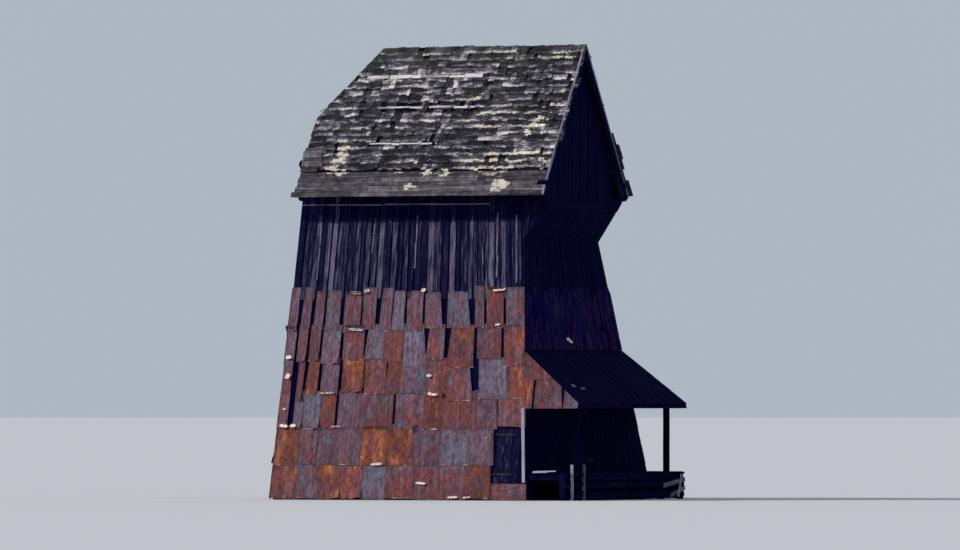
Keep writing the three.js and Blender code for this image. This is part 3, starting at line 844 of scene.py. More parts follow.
# A tone runs from 0, where the coat is whole, to 1, where all of it is orange rust.
ZINC, DULL, BROWN, RED, ORANGE = 0.05, 0.23, 0.42, 0.60, 0.82
NEAR_SHEETS = {
    0: [
        (0.100, RED, LAPPED),
        (0.180, DULL, LAPPED),
        (0.270, ORANGE, LAPPED),
        (0.355, RED, LAPPED),
        (0.450, ZINC, LAPPED),
        (0.560, BROWN, LAPPED),
        (0.660, BROWN, LAPPED),
        (0.760, BROWN, LAPPED),
        ("door", RED, 0.024),
        (1.000, BROWN, LAPPED),
    ],
    1: [
        (0.095, ORANGE, LAPPED),
        (0.165, DULL, LAPPED),
        (0.250, DULL, LAPPED),
        (0.340, DULL, LAPPED),
        (0.445, ORANGE, LAPPED),
        (0.550, ORANGE, LAPPED),
        (0.660, DULL, LAPPED),
        (0.775, ZINC, LAPPED),
        ("door", DULL, 0.024),
    ],
    2: [
        (0.062, BROWN, 0.17),
        (0.100, ZINC, 0.02),
        (0.165, ZINC, LAPPED),
        (0.242, RED, 0.08),
        (0.310, DULL, LAPPED),
        (0.400, BROWN, LAPPED),
        (0.475, BROWN, 0.07),
        (0.590, DULL, LAPPED),
        (0.665, ORANGE, LAPPED),
        (0.735, RED, LAPPED),
        (0.800, RED, LAPPED),
        ("door", DULL, 0.024),
        (1.000, BROWN, LAPPED),
    ],
    3: [
        (0.062, BROWN, 0.17),
        (0.097, BROWN, 0.07),
        (0.162, ORANGE, 0.10),
        (0.248, BROWN, 0.10),
        (0.340, ORANGE, 0.03),
        (0.425, RED, LAPPED),
        (0.501, RED, LAPPED),
        (0.593, ZINC, LAPPED),
        (0.684, RED, LAPPED),
        (0.812, BROWN, 0.17),
        (0.932, ZINC, 0.02),
        (1.000, ORANGE, LAPPED),
    ],
    4: [
        (0.050, DULL, 0.08),
        (0.100, BROWN, 0.08),
        (0.153, BROWN, 0.07),
        (0.242, DULL, 0.10),
        (0.333, BROWN, 0.03),
        (0.410, ZINC, LAPPED),
        (0.497, RED, 0.03),
        (0.590, ZINC, LAPPED),
        (0.677, BROWN, 0.08),
        (0.803, RED, 0.10),
        (0.915, BROWN, 0.08),
        (1.000, RED, LAPPED),
    ],
    5: [
        (0.052, DULL, 0.10),
        (0.108, DULL, 0.11),
        (0.158, DULL, 0.08),
        (0.234, DULL, 0.11),
        (0.314, BROWN, 0.06),
        (0.386, DULL, 0.11),
        (0.440, DULL, 0.02),
        (0.503, ZINC, 0.07),
        (0.581, DULL, 0.07),
        (0.675, DULL, 0.13),
        (0.793, ZINC, 0.13),
        (0.842, DULL, 0.07),
        (0.925, RED, 0.08),
        (1.000, DULL, LAPPED),
    ],
}
BENDS = [
    (5, 0.28, "top_lip"),
    (5, 0.56, "left_ear"),
    (5, 0.89, "top_lip"),
    (4, 0.29, "top_lip"),
    (1, 0.42, "top_lip"),
]
print(sum(len(row) for row in NEAR_SHEETS.values()), "sheets noted")

# %% [markdown]
# A row is laid sheet by sheet from left to right, each one leaning a little, and every other one standing a
# little prouder, so that laps cast a thin shadow. The rows could be an array modifier, but no two sheets
# are of one width or age. High up the feet hang at uneven heights, and low down they are nearly level.
# Beside the low door the sheets lie flat and stop a little short of it, so that the door can swing.

# %% Rows of sheets
USUAL_AGE = 0.36
TOP_ROW = 5


def sheet_rows(name, seed, levels, ends, noted=None):
    """Rows of lapped sheets. A level is a row's number, its foot and its top."""
    draw = random.Random(seed)
    parts = []
    for row, foot, top in levels:
        left, right = ends(foot)
        span = right - left
        door_seam = (DOOR_LEFT - left) / span
        given = list(noted.get(row, ())) if noted else []
        u = 0.0
        while u < 0.99:
            if given:
                stop, tone, slit = given.pop(0)
                stop = door_seam if stop == "door" else stop
                tone = max(tone + draw.uniform(-0.05, 0.05), 0.0)
            else:
                stop = min(u + draw.uniform(*((0.32, 0.6) if row > 1 else (0.45, 0.9))) / span, 1.0)
                tone, slit = min(max(draw.gauss(USUAL_AGE, 0.17), 0.0), 0.97), LAPPED
                if row > 2 and draw.random() < 0.45:
                    slit = draw.uniform(0.02, 0.09)
            slip = 0.19 if row > 2 else 0.03
            low = max(foot + draw.uniform(-slip, 0.4 * slip), 0.012)
            high = top - (draw.uniform(0.0, 0.19) if row == TOP_ROW else 0.0)
            if noted and u > door_seam - 0.01:
                low = up("near", DOOR_HEAD) + 0.02 if row == 2 else low
                high = up("near", DOOR_SILL) - 0.01 if row == 0 else high
            cut = 4 if row > 3 else 1 if row == 3 else 0
            kind = draw.choices(list(sheets), (6, 1, 1, 1, 2, 2, 2, cut, cut))[0]
            if noted:
                kind = next((k for r, c, k in BENDS if r == row and u < c < stop), kind)
                kind = "flat" if row < 3 and stop > door_seam - 0.15 else kind
            middle, width, slant = slanted(ends, u, stop - slit / span, low, high)
            proud = 0.037 + 0.005 * draw.random() + (0.003 if len(parts) % 2 else 0.0)
            lean = Matrix.Rotation(-0.012, 4, "X") @ Matrix.Rotation(draw.uniform(-0.014, 0.014), 4, "Y")
            size = Matrix.Diagonal((width, 1, high - low + draw.uniform(-0.03, 0.02), 1))
            place = Matrix.Translation((middle - width / 2, -proud, low))
            parts.append(copied(sheets[kind], place @ slant @ lean @ size, tone))
            u = stop
            if noted and not given:
                break
    return joined(name, parts)


def sheet_wall(wall, seed, first_row=0, noted=None):
    """The sheets of one wall, sawn a little over its two ends."""
    rows = range(first_row, TOP_ROW + 1)
    levels = [(row, up(wall, ROWS[row]), up(wall, ROWS[row + 1]) + LAP) for row in rows]
    item = sheet_rows(f"{wall}_sheet_cladding", seed, levels, wall_ends(wall, 0.02), noted)
    saw_to_outline(wall, item, 0.03)
    return item


print(len(ROWS) - 1, "rows of sheets to a wall")

# %% [markdown]
# The near wall gets the sheets that were noted, and the far wall and the back are drawn at random in the
# same rows. On the porch end only the two top rows are sheeted, and they are sawn off above the canopy.

# %% Sheets of the four walls
near_sheets = sheet_wall("near", 3, noted=NEAR_SHEETS)
hang(
    near_sheets,
    WALLS["near"][0],
    rust,
    "near_sheets",
    "near_sheets_over_door",
    "near_sheets_under_door",
    slot="sheets",
)
for wall, seed in (("far", 4), ("back", 5)):
    hang(sheet_wall(wall, seed), WALLS[wall][0], rust, f"{wall}_sheets", slot="sheets")
# The porch end's sheets take the copy with painted shade over it.
porch_sheets = sheet_wall("porch", 8, first_row=4)
saw(porch_sheets, (0, 0, up("porch", 3.95)), (0, 0, -1))
hang(porch_sheets, WALLS["porch"][0], shaded_rust, "porch_sheets", slot="sheets")

# %% [markdown]
# The roof's sizes are needed from here on, as each gable ends at its slopes. Boards could be given their
# slanting heads one by one, but a carpenter nails them up too long and saws along a line, and that is done
# here.

# %% Sizes of the roof
RIDGE = 12.0
EAVE = 8.0
ROOF_HALF = 2.53
ROOF_BACK = -3.707
ROOF_FRONT = 3.672
JETTY = 3.47
WAIST = 6.83
JETTY_FOOT = 7.62
ROOF_SLACK = 0.235


def porch_reach(height):
    return HALF_LENGTH - PORCH_BATTER * height


def saw_to_roof(item):
    """Saws a gable, drawn upright on the bench, to the underside of both roof slopes."""
    peak = (0, RIDGE - ROOF_SLACK)
    foot = EAVE - ROOF_SLACK
    saw_line(item, (ROOF_HALF, foot), peak)
    saw_line(item, peak, (-ROOF_HALF, foot))


def saw_to_sides(item):
    """Saws a gable to the two leaning side walls."""
    low, high = HALF_DEPTH - 6 * SIDE_BATTER, HALF_DEPTH - 9 * SIDE_BATTER
    saw_line(item, (low, 6), (high, 9))
    saw_line(item, (-high, 9), (-low, 6))


print("roof", round(RIDGE - EAVE, 2), "m high, porch wall's head", round(porch_reach(EAVE), 2), "m out")

# %% [markdown]
# The front gable stands out over the porch wall, and its boards end in a ragged line above the jetty beam.
# The back gable ends under the half-hip. Under the front gable a sloping soffit of boards closes the jetty
# from below, and a cheek closes it on each side. The far cheek is laid out like the near one, with random
# numbers of its own, and then mirrored.

# %% Gables, soffit and cheeks of the jetty
# shade=0.4 lowers these boards' tone: painted shade on the front gable, which faces away from the sun.
front = board_row("front_gable_boards", boards, (-2.05, 2.05), 7.88, 11.8, seed=21, ragged=0.025, shade=0.4)
saw_to_roof(front)
saw_to_sides(front)
hang(front, wall_place(90, JETTY, 0), bare_boards, slot="boards")

rear = board_row("back_gable_boards", boards, (-2.05, 2.05), 7.7, 10.4, seed=22)
saw_to_roof(rear)
saw_to_sides(rear)
saw(rear, (0, 0, 9.93), (0, 0, 1))
hang(rear, wall_place(-90, HALF_LENGTH - 0.05, 0), bare_boards, slot="boards")

# shade=0.3 lowers these boards' tone: painted shade under the jetty.
soffit = board_row("jetty_soffit_boards", boards, (-2.2, 2.2), 0.01, 0.94, seed=23, ragged=0.0, shade=0.3)
soffit_batter = (porch_reach(WAIST) - JETTY) / (JETTY_FOOT - WAIST)
hang(soffit, wall_place(90, porch_reach(WAIST), soffit_batter, WAIST), bare_boards, slot="boards")

for side, turn in (("near", 1), ("far", -1)):
    cheek = board_row(
        f"jetty_cheek_{side}_boards", boards, (2.6, 3.5), up("near", 6.6), up("near", 8.6), seed=24 + turn
    )
    saw_line(cheek, (JETTY, 0), (JETTY, 12))
    saw_line(cheek, (porch_reach(WAIST), up("near", WAIST)), (JETTY, up("near", JETTY_FOOT)))
    saw_line(cheek, (porch_reach(9), up("near", 9)), (porch_reach(6), up("near", 6)))
    if side == "far":
        mirrored(cheek)
    hang(cheek, WALLS[side][0], bare_boards, slot="boards")

# %% [markdown]
# On the near slope the lichen was noted by place, as ellipses: how far along the roof and how high each one
# lies, in metres, how wide and how tall it reaches, and how thickly it grows, from 0 to 1. A painted mask
# could hold the same, but a short table needs no picture and is easy to change.

# %% Where lichen grows
LICHEN_SPOTS = [
    (-3.14, 9.31, 0.24, 0.08, 0.85),
    (-3.12, 9.14, 0.20, 0.08, 0.85),
    (-3.20, 8.97, 0.26, 0.08, 0.85),
    (-3.26, 8.82, 0.24, 0.08, 0.80),
    (-3.16, 8.66, 0.38, 0.07, 0.70),
    (-3.08, 11.15, 0.24, 0.10, 0.36),
    (-3.42, 10.45, 0.26, 0.12, 0.32),
    (-0.87, 8.28, 0.22, 0.08, 0.58),
    (-1.32, 8.68, 0.22, 0.07, 0.52),
    (-0.42, 8.64, 0.17, 0.07, 0.54),
    (0.09, 8.64, 0.20, 0.07, 0.54),
    (1.82, 8.28, 0.30, 0.17, 0.62),
    (1.50, 8.85, 0.90, 0.42, 0.31),
    (2.30, 9.10, 0.50, 0.14, 0.32),
    (2.93, 8.95, 0.12, 0.10, 0.45),
    (2.26, 9.74, 0.10, 0.17, 0.95),
    (2.37, 9.99, 0.11, 0.17, 0.95),
    (2.62, 9.92, 0.20, 0.07, 0.50),
    (2.70, 10.40, 0.26, 0.07, 0.52),
    (0.93, 9.82, 0.26, 0.10, 0.30),
    (0.42, 10.62, 0.09, 0.06, 0.48),
    (1.40, 10.1, 1.40, 0.40, 0.17),
    (2.65, 11.78, 0.40, 0.20, 0.30),
]
print(len(LICHEN_SPOTS), "patches of lichen")

# %% [markdown]
# Moss is a dark green film that thickens towards the ridge. Lichen is a pale crust of many hues, on bare
# wood first. Noise drags each ellipse out of shape and breaks it up inside, so that no ellipse shows, and a
# thin scatter of crusts grows everywhere. The same growth lies over shingles and boards, so it is a
# function of the wood's colour.

# %% Moss and lichen
def overgrown(tree, place, wood, bare):
    """Moss and lichen over the colour of the wood. Bare is how far the wood is worn there."""
    height = add(tree, "ShaderNodeSeparateXYZ", {"Vector": place}, out="Z")
    ridge = add(
        tree, "ShaderNodeMapRange", {"Value": height, "From Min": 11.3, "From Max": 12.0, "To Max": 0.15}
    )
    damp = add(
        tree, "ShaderNodeTexNoise", {"Vector": place, "Scale": 2.3, "Detail": 8.0, "Roughness": 0.7}
    )
    damp = add(tree, "ShaderNodeMath", {0: damp, 1: ridge}, operation="ADD")
    moss = add(
        tree, "ShaderNodeMapRange", {"Value": damp, "From Min": 0.5, "From Max": 0.72, "To Max": 0.6}
    )
    colour = add(
        tree, "ShaderNodeMix", {"Factor": moss, 6: wood, 7: linear("#3C4335")}, data_type="RGBA", out=2
    )
    ragged = add(
        tree,
        "ShaderNodeTexNoise",
        {"Vector": place, "Scale": 4.5, "Detail": 5.0, "Roughness": 0.7},
        out="Color",
    )
    ragged = add(tree, "ShaderNodeVectorMath", {0: ragged, 1: (0.5, 0.5, 0.5)}, operation="SUBTRACT")
    spread = add(tree, "ShaderNodeVectorMath", {0: ragged, 1: (0.9, 0.3, 0.35)}, operation="MULTIPLY")
    spread = add(tree, "ShaderNodeVectorMath", {0: spread, 1: place}, operation="ADD")
    growth = 0.0
    for x, z, wide, tall, thick in LICHEN_SPOTS:
        y = -ROOF_HALF * (RIDGE - z) / (RIDGE - EAVE)
        sized = (1 / wide, 1.2, 1 / tall)
        centre = [-p * q for p, q in zip((x, y, z), sized)]
        near = add(tree, "ShaderNodeMapping", {"Vector": spread, "Location": centre, "Scale": sized})
        far = add(tree, "ShaderNodeVectorMath", {0: near}, operation="LENGTH", out="Value")
        spot = add(
            tree, "ShaderNodeMapRange", {"Value": far, "From Min": 1.35, "From Max": 0.7, "To Max": thick}
        )
        growth = add(tree, "ShaderNodeMath", {0: spot, 1: growth}, operation="MAXIMUM")
    drawn_out = add(tree, "ShaderNodeMapping", {"Vector": place, "Scale": (2.6, 2.6, 12)})
    crust = add(
        tree, "ShaderNodeTexNoise", {"Vector": drawn_out, "Scale": 1.3, "Detail": 6.0, "Roughness": 0.72}
    )
    kept = add(tree, "ShaderNodeMath", {0: bare, 1: 0.55, 2: 0.45}, operation="MULTIPLY_ADD")
    growth = add(tree, "ShaderNodeMath", {0: growth, 1: kept}, operation="MULTIPLY")
    crust = add(tree, "ShaderNodeMath", {0: crust, 1: 1.5, 2: growth}, operation="MULTIPLY_ADD")
    crust = add(tree, "ShaderNodeMath", {0: bare, 1: 0.16, 2: crust}, operation="MULTIPLY_ADD")
    crust = add(
        tree, "ShaderNodeMapRange", {"Value": crust, "From Min": 1.08, "From Max": 1.20, "To Max": 0.9}
    )
    hue = add(tree, "ShaderNodeTexNoise", {"Vector": place, "Scale": 1.1, "Detail": 2.0})
    along = add(tree, "ShaderNodeSeparateXYZ", {"Vector": place}, out="X")
    hue = add(tree, "ShaderNodeMath", {0: along, 1: 0.03, 2: hue}, operation="MULTIPLY_ADD")
    hue = add(
        tree,
        "ShaderNodeValToRGB",
        {"Fac": hue},
        stops=[(0.40, "#C6B9AF"), (0.48, "#BCB9AC"), (0.55, "#CDCCBE"), (0.60, "#BBBDA2"), (0.66, "#D9DACB")],
    )
    return add(tree, "ShaderNodeMix", {"Factor": crust, 6: colour, 7: hue}, data_type="RGBA", out=2)


# %% [markdown]
# The shingles were split from spruce along the grain, so they are rough and matte. Each is pale at its
# foot and dark further up: partly weathering at the foot and dirt further up, partly painted light on the
# foot, which catches the sun, and painted shade under the course above. Streaks about half a metre long and
# 10 cm tall run along the courses, where rows weathered alike. The boards that mended the eave are newer
# wood with the grain along them, under the same moss and lichen.

# %% Shingle finish
def split_shingles():
    """Split spruce, by each shingle's own map and by its place on the roof."""
    made, tree, shader = fresh("split_spruce_shingles")
    place = add(tree, "ShaderNodeTexCoord", out="Object")
    own = add(tree, "ShaderNodeUVMap", uv_map="flat")
    tone = add(tree, "ShaderNodeAttribute", attribute_name="tone", out="Fac")
    depth = add(tree, "ShaderNodeMath", {0: tone, 1: 71.0}, operation="MULTIPLY")
    stretched = add(tree, "ShaderNodeMapping", {"Vector": own, "Scale": (75, 5, 1)})
    grain = add(
        tree,
        "ShaderNodeTexNoise",
        {"Vector": stretched, "W": depth, "Scale": 1.0, "Detail": 4.0},
        noise_dimensions="4D",
    )
    drawn_out = add(tree, "ShaderNodeMapping", {"Vector": place, "Scale": (2.2, 2.2, 11)})
    streak = add(
        tree, "ShaderNodeTexNoise", {"Vector": drawn_out, "Scale": 1.0, "Detail": 7.0, "Roughness": 0.7}
    )
    # The foot is lightened, partly as weathering and partly as painted light where it catches the sun; the
    # wood above it stays darker, as painted shade under the course above.
    foot = add(tree, "ShaderNodeSeparateXYZ", {"Vector": own}, out="Y")
    foot = add(
        tree, "ShaderNodeMapRange", {"Value": foot, "From Min": 0.13, "From Max": 0.05, "To Max": 1.0}
    )
    wood_value = add(tree, "ShaderNodeMath", {0: tone, 1: 0.60, 2: -1.55}, operation="MULTIPLY_ADD")
    wood_value = add(tree, "ShaderNodeMath", {0: grain, 1: 0.3, 2: wood_value}, operation="MULTIPLY_ADD")
    wood_value = add(tree, "ShaderNodeMath", {0: streak, 1: 2.8, 2: wood_value}, operation="MULTIPLY_ADD")
    wood_value = add(tree, "ShaderNodeMath", {0: foot, 1: 0.34, 2: wood_value}, operation="MULTIPLY_ADD")
    wood = add(
        tree,
        "ShaderNodeValToRGB",
        {"Fac": wood_value},
        stops=[(0.05, "#0B0A14"), (0.32, "#252433"), (0.55, "#444352"), (0.78, "#7A7883"), (1.0, "#C4C2C0")],
    )
    colour = overgrown(tree, place, wood, foot)
    tree.links.new(colour, shader.inputs["Base Color"])
    bump = add(tree, "ShaderNodeBump", {"Height": grain, "Distance": 0.006, "Strength": 0.8})
    tree.links.new(bump, shader.inputs["Normal"])
    shader.inputs["Roughness"].default_value = 0.9
    shader.inputs["Specular IOR Level"].default_value = 0.2
    return made


def mended_boards():
    """Newer spruce boards with the grain along them, under the same moss and lichen."""
    made, tree, shader = fresh("eave_spruce_boards")
    place = add(tree, "ShaderNodeTexCoord", out="Object")
    tone = add(tree, "ShaderNodeAttribute", attribute_name="tone", out="Fac")
    drawn_out = add(tree, "ShaderNodeMapping", {"Vector": place, "Scale": (0.9, 20, 20)})
    grain = add(
        tree, "ShaderNodeTexNoise", {"Vector": drawn_out, "Scale": 1.0, "Detail": 7.0, "Roughness": 0.62}
    )
    blotch = add(
        tree, "ShaderNodeTexNoise", {"Vector": place, "Scale": 5.0, "Detail": 7.0, "Roughness": 0.7}
    )
    wood_value = add(tree, "ShaderNodeMath", {0: tone, 1: 0.42, 2: -1.32}, operation="MULTIPLY_ADD")
    wood_value = add(tree, "ShaderNodeMath", {0: grain, 1: 1.7, 2: wood_value}, operation="MULTIPLY_ADD")
    wood_value = add(tree, "ShaderNodeMath", {0: blotch, 1: 1.3, 2: wood_value}, operation="MULTIPLY_ADD")
    wood = add(
        tree,
        "ShaderNodeValToRGB",
        {"Fac": wood_value},
        stops=[(0.1, "#1C1A22"), (0.4, "#3B3844"), (0.65, "#5E5B66"), (0.95, "#8F8C92")],
    )
    tree.links.new(overgrown(tree, place, wood, 0.5), shader.inputs["Base Color"])
    bump = add(tree, "ShaderNodeBump", {"Height": grain, "Distance": 0.004, "Strength": 0.8})
    tree.links.new(bump, shader.inputs["Normal"])
    shader.inputs["Roughness"].default_value = 0.88
    shader.inputs["Specular IOR Level"].default_value = 0.2
    return made


eave_wood = mended_boards()
shingle_wood = split_shingles()
print("roof:", shingle_wood.name, "and", eave_wood.name)

# %% [markdown]
# A shingle is a short narrow board with a ragged foot, modelled four times. About two thousand copies are
# laid, so a model has few faces and no bevel. It could be a plain box, but then the feet would end in a
# ruled line, so its foot is jostled once more.

# %% Shingle models
SHINGLE_WIDE, SHINGLE_LONG, SHINGLE_THICK = 0.12, 0.33, 0.013
shingles = []
for i in range(4):
    shingle = board_model(
        f"shingle_{i}",
        SHINGLE_WIDE,
        SHINGLE_LONG,
        SHINGLE_THICK,
        seed=40 + i,
        steps=3,
        wobble=0.005,
        edge_round=0,
    )
    edit(shingle, lambda p: p.z < 0.03)
    bpy.ops.transform.vertex_random(offset=0.012, seed=50 + i)
    shut()
    shingles.append(shingle)
print(len(shingles), "shingle models of", len(shingles[0].data.polygons), "faces")

# %% [markdown]
# The courses are laid from the eave up, and each shingle leans out a little, so that its foot lies on the
# course below. Particles could scatter them, but they would not lie in courses. A few neighbours at a time
# come from one log and look alike. Some shingles have slipped, lifted or gone, most of all below the bared
# laths, and a few are newer and paler. The near slope's top course stands a little over the ridge, towards
# the weather.

# %% Shingle courses
EXPOSURE = 0.2151
ROOF_BATTER = ROOF_HALF / (RIDGE - EAVE)
ROOF_SLOPE = math.hypot(ROOF_HALF, RIDGE - EAVE)
EAVE_BOARDED = 0.72
SLOPES = {
    "near": wall_place(0, ROOF_HALF, ROOF_BATTER, EAVE),
    "far": wall_place(180, ROOF_HALF, ROOF_BATTER, EAVE),
}
# Where laths lie bare on the near slope: from where to where along it, how far up it, and how wide they are.
BARED_LATHS = [(-2.55, 0.89, 3.787, 0.10), (-1.97, 1.0, 2.804, 0.06), (-1.9, 0.1, 1.657, 0.05)]


def shingled(name, seed, left, right, slope, gaps=(), over=0.0, boarded=0.0, blown=None):
    """Courses of shingles from the eave up a slope that is drawn flat on the bench."""
    draw = random.Random(seed)
    parts = []
    for course in range(math.ceil(slope / EXPOSURE)):
        foot = course * EXPOSURE - 0.02
        if foot < boarded:
            continue
        dip = draw.uniform(0.0, 6.28)
        x = left - draw.uniform(0.0, 0.04)
        run = 0
        while x < right:
            if run <= 0:
                run, alike, high = draw.randint(1, 4), draw.betavariate(1.3, 1.6), draw.random() < 0.14
            run -= 1
            width = draw.uniform(0.085, 0.17)
            middle = x + width / 2
            x += width + draw.uniform(0.001, 0.010)
            fate = draw.random()
            below_lath = any(a < middle < b and 0 < c - foot < 0.26 for a, b, c, _ in gaps)
            if fate < (0.45 if below_lath else 0.035) and foot > boarded + 0.3:
                continue
            low = foot + 0.015 * math.sin(middle * 1.7 + dip) + draw.uniform(-0.025, 0.025)
            spin, lift = draw.uniform(-0.03, 0.03), draw.uniform(0.1, 0.15) if high else 0.067
            if fate < 0.10:
                low, spin = low - draw.uniform(0.02, 0.06), draw.uniform(-0.12, 0.12)
            elif fate < 0.14 or (blown and fate < 0.5 and abs(middle - blown) < 0.35):
                lift = draw.uniform(0.12, 0.5 if blown else 0.3)
            tall = min(SHINGLE_LONG, slope + over * draw.uniform(0.0, 1.0) - low)
            if tall < 0.06:
                continue
            tone = min(max(alike + draw.uniform(-0.14, 0.14), 0.0), 1.0) + (0.6 if fate > 0.975 else 0.0)
            place = Matrix.Translation((middle, -0.012 - lift * 0.24, low))
            turn = Matrix.Rotation(-lift, 4, "X") @ Matrix.Rotation(spin, 4, "Y")
            size = Matrix.Diagonal((width / SHINGLE_WIDE, 1, tall / SHINGLE_LONG, 1))
            parts.append(copied(draw.choice(shingles), place @ turn @ size, tone))
    return joined(name, parts)


print("courses of", EXPOSURE, "m up a slope of", round(ROOF_SLOPE, 2), "m")

# %% [markdown]
# At the back the ridge stops short, and a small slope, the half-hip, cuts off the corner. The two long
# slopes are laid whole and sawn along the line where they meet it, and the half-hip is laid as a rectangle
# and sawn to a triangle. It could be modelled as a triangle from the start, but a saw gives cut shingles
# along the edge, as on the roof.

# %% Three slopes of shingles
HIP_EAVE, RIDGE_END = 10.13, -2.307
HIP_HALF, HIP_RUN, HIP_RISE = 1.183, 1.4, 1.87
hip_foot = (HIP_EAVE - EAVE) / (RIDGE - EAVE) * ROOF_SLOPE
hip_slope = math.hypot(HIP_RUN, HIP_RISE)
near_shingles = shingled(
    "near_roof_shingles",
    61,
    ROOF_BACK,
    ROOF_FRONT - 0.02,
    ROOF_SLOPE,
    BARED_LATHS,
    over=0.035,
    boarded=EAVE_BOARDED,
)
saw_line(near_shingles, (RIDGE_END, ROOF_SLOPE), (ROOF_BACK, hip_foot))
hang(near_shingles, SLOPES["near"], shingle_wood, slot="shingles")

far_shingles = shingled(
    "far_roof_shingles",
    62,
    -ROOF_FRONT + 0.02,
    -ROOF_BACK,
    ROOF_SLOPE,
    boarded=EAVE_BOARDED,
    blown=-ROOF_FRONT,
)
saw_line(far_shingles, (-ROOF_BACK, hip_foot), (-RIDGE_END, ROOF_SLOPE))
hang(far_shingles, SLOPES["far"], shingle_wood, slot="shingles")

hip_shingles = shingled("half_hip_shingles", 63, -HIP_HALF, HIP_HALF, hip_slope)
saw_line(hip_shingles, (0, hip_slope), (-HIP_HALF - 0.02, 0))
saw_line(hip_shingles, (HIP_HALF + 0.02, 0), (0, hip_slope))
hang(hip_shingles, wall_place(-90, -ROOF_BACK, HIP_RUN / HIP_RISE, HIP_EAVE), shingle_wood, slot="shingles")

# %% [markdown]
# Beams, posts, rails and battens were hewn or sawn from one piece. A cube with a bevel would do for new
# ones. Here each is made to its own size from a board, with a broader chamfer, and its corners are jostled
# as an axe leaves them.

# %% Timbers
def timber(name, width, depth, length, seed):
    """A timber that stands on the bench, with its middle over the origin."""
    chamfer = min(width, depth) * 0.08
    item = board_model(name, width, length, depth, seed, steps=5, wobble=0.004, edge_round=chamfer)
    edit(item)
    bpy.ops.transform.vertex_random(offset=0.002, seed=seed + 1)
    bpy.ops.transform.translate(value=(0, depth / 2, 0))
    shut()
    return item


def timbers(name, pieces, seed, shade=(0.1, 0.9)):
    """Timbers, each given as its start, end, face, width, depth and, if wished, its tone."""
    draw = random.Random(seed)
    parts = []
    for start, end, face, width, depth, *tone in pieces:
        length = (Vector(end) - Vector(start)).length
        model = timber(name + "_model", width, depth, length, draw.randrange(1000))
        parts.append(copied(model, reaching(start, end, face), tone[0] if tone else draw.uniform(*shade)))
        bin_models(model)
    return joined(name, parts)

# %% [markdown]
# Under each eave rafter tails come out of the wall, and a lath in two lengths runs along the wall just
# below them. The far wall plate's hewn end closes the corner under the far eave, and a beam lies along the
# foot of the front gable. A row of like timbers could be an array, but here each one is jostled by itself.

# %% Rafter tails, laths, plate end and gable beam
for side, turn in (("near", 0), ("far", 180)):
    places = [-3.6 + 0.9 * i for i in range(9)]
    tails = timbers(
        f"{side}_rafter_tails",
        [((x, 0.175, 0.03), (x, 0.175, 1.0), (0, -1, 0), 0.10, 0.11) for x in places],
        seed=70 + turn,
    )
    hang(tails, SLOPES[side], bare_boards, slot="timber")
    flip = 1 if side == "near" else -1
    first_rise, last_rise = up("near", 7.80), up("near", 7.79)
    lath = timbers(
        f"{side}_eave_lath",
        [
            ((flip * a, -0.03, first_rise), (flip * b, -0.032, last_rise), (0, -1, 0), 0.04, 0.03)
            for a, b in ((-3.70, -1.31), (-1.28, 1.85))
        ],
        seed=72 + turn,
        shade=(1.15, 1.3),
    )
    hang(lath, WALLS[side][0], bare_boards, slot="boards")

# A low tone and the shaded copy paint the shade under the far eave.
plate_end = timbers(
    "far_plate_end",
    [((2.35, 2.22, 7.81), (3.03, 2.24, 7.81), (0, 1, 0), 0.40, 0.56)],
    seed=73,
    shade=(0.0, 0.1),
)
saw(plate_end, (2.7, 2.50, 7.84), (0.1, 0.62, -0.78))
hang(plate_end, HERE, shaded_boards, slot="timber")

# A low tone paints the shade of the porch end on the beam.
gable_beam = timbers(
    "jetty_beam",
    [((-2.0, -0.02, 7.75), (2.0, -0.02, 7.75), (0, -1, 0), 0.26, 0.06)],
    seed=74,
    shade=(0.0, 0.1),
)
hang(gable_beam, wall_place(90, JETTY, 0), bare_boards, slot="timber")

# %% [markdown]
# A bargeboard covers the edge of each slope at the front. Each is in lengths that no longer line up, two on
# the near side and four on the far one, so every length gets its own distance in from the edge. One swept
# curve would keep them in line, which is just what they have lost.

# %% Bargeboards
for side, flip in (("near", 1), ("far", -1)):
    run = Vector((flip * ROOF_HALF, 0, RIDGE - EAVE)).normalized()
    inward = Vector((flip * run.z, 0, -flip * run.x))
    pieces = []
    lengths = ((0.0, 2.2, 0.10), (2.22, 4.74, 0.088))
    if side == "far":
        lengths = ((0.0, 0.95, 0.07), (0.98, 2.1, 0.10), (2.13, 3.2, 0.06), (3.23, 4.74, 0.09))
    for low, high, drop in lengths:
        start = Vector((-flip * ROOF_HALF, 0.015, EAVE)) + run * low + inward * drop
        end = Vector((-flip * ROOF_HALF, 0.015, EAVE)) + run * high + inward * drop
        pieces.append((start, end, (0, -1, 0), 0.20, 0.03))
    # Low tones paint the shade of the porch end, which the bargeboards face.
    barge = timbers(f"{side}_bargeboards", pieces, seed=76 + flip, shade=(0.0, 0.3))
    saw_line(barge, *(((0, 14), (0, 0)) if flip < 0 else ((0, 0), (0, 14))))
    hang(barge, wall_place(90, ROOF_FRONT, 0), bare_boards, f"bargeboard_{side}", slot="pale_boards")

# %% [markdown]
# Along the front edge of each slope lies a lath, silvered by the sun and broken near its foot. On the far
# slope boards were nailed over the lower part of that edge, one lapping the next, as the shingles there
# blew off. Each is a timber of its own, because no two are of one length.

# %% Verge laths and patches
for side, flip in (("near", 1), ("far", -1)):
    out = flip * (ROOF_FRONT - 0.01)
    further_in = flip * (ROOF_FRONT - 0.014)
    pieces = [
        ((out, -0.02, a), (further_in, -0.03, b), (0, -1, 0), 0.05, 0.05)
        for a, b in ((0.02, 0.30), (0.47, 1.9), (1.92, 3.4), (3.43, 4.72))
    ]
    verge = timbers(f"{side}_verge_laths", pieces, seed=128 + flip, shade=(0.3, 0.6))
    hang(verge, SLOPES[side], silver_boards, slot="pale_boards")

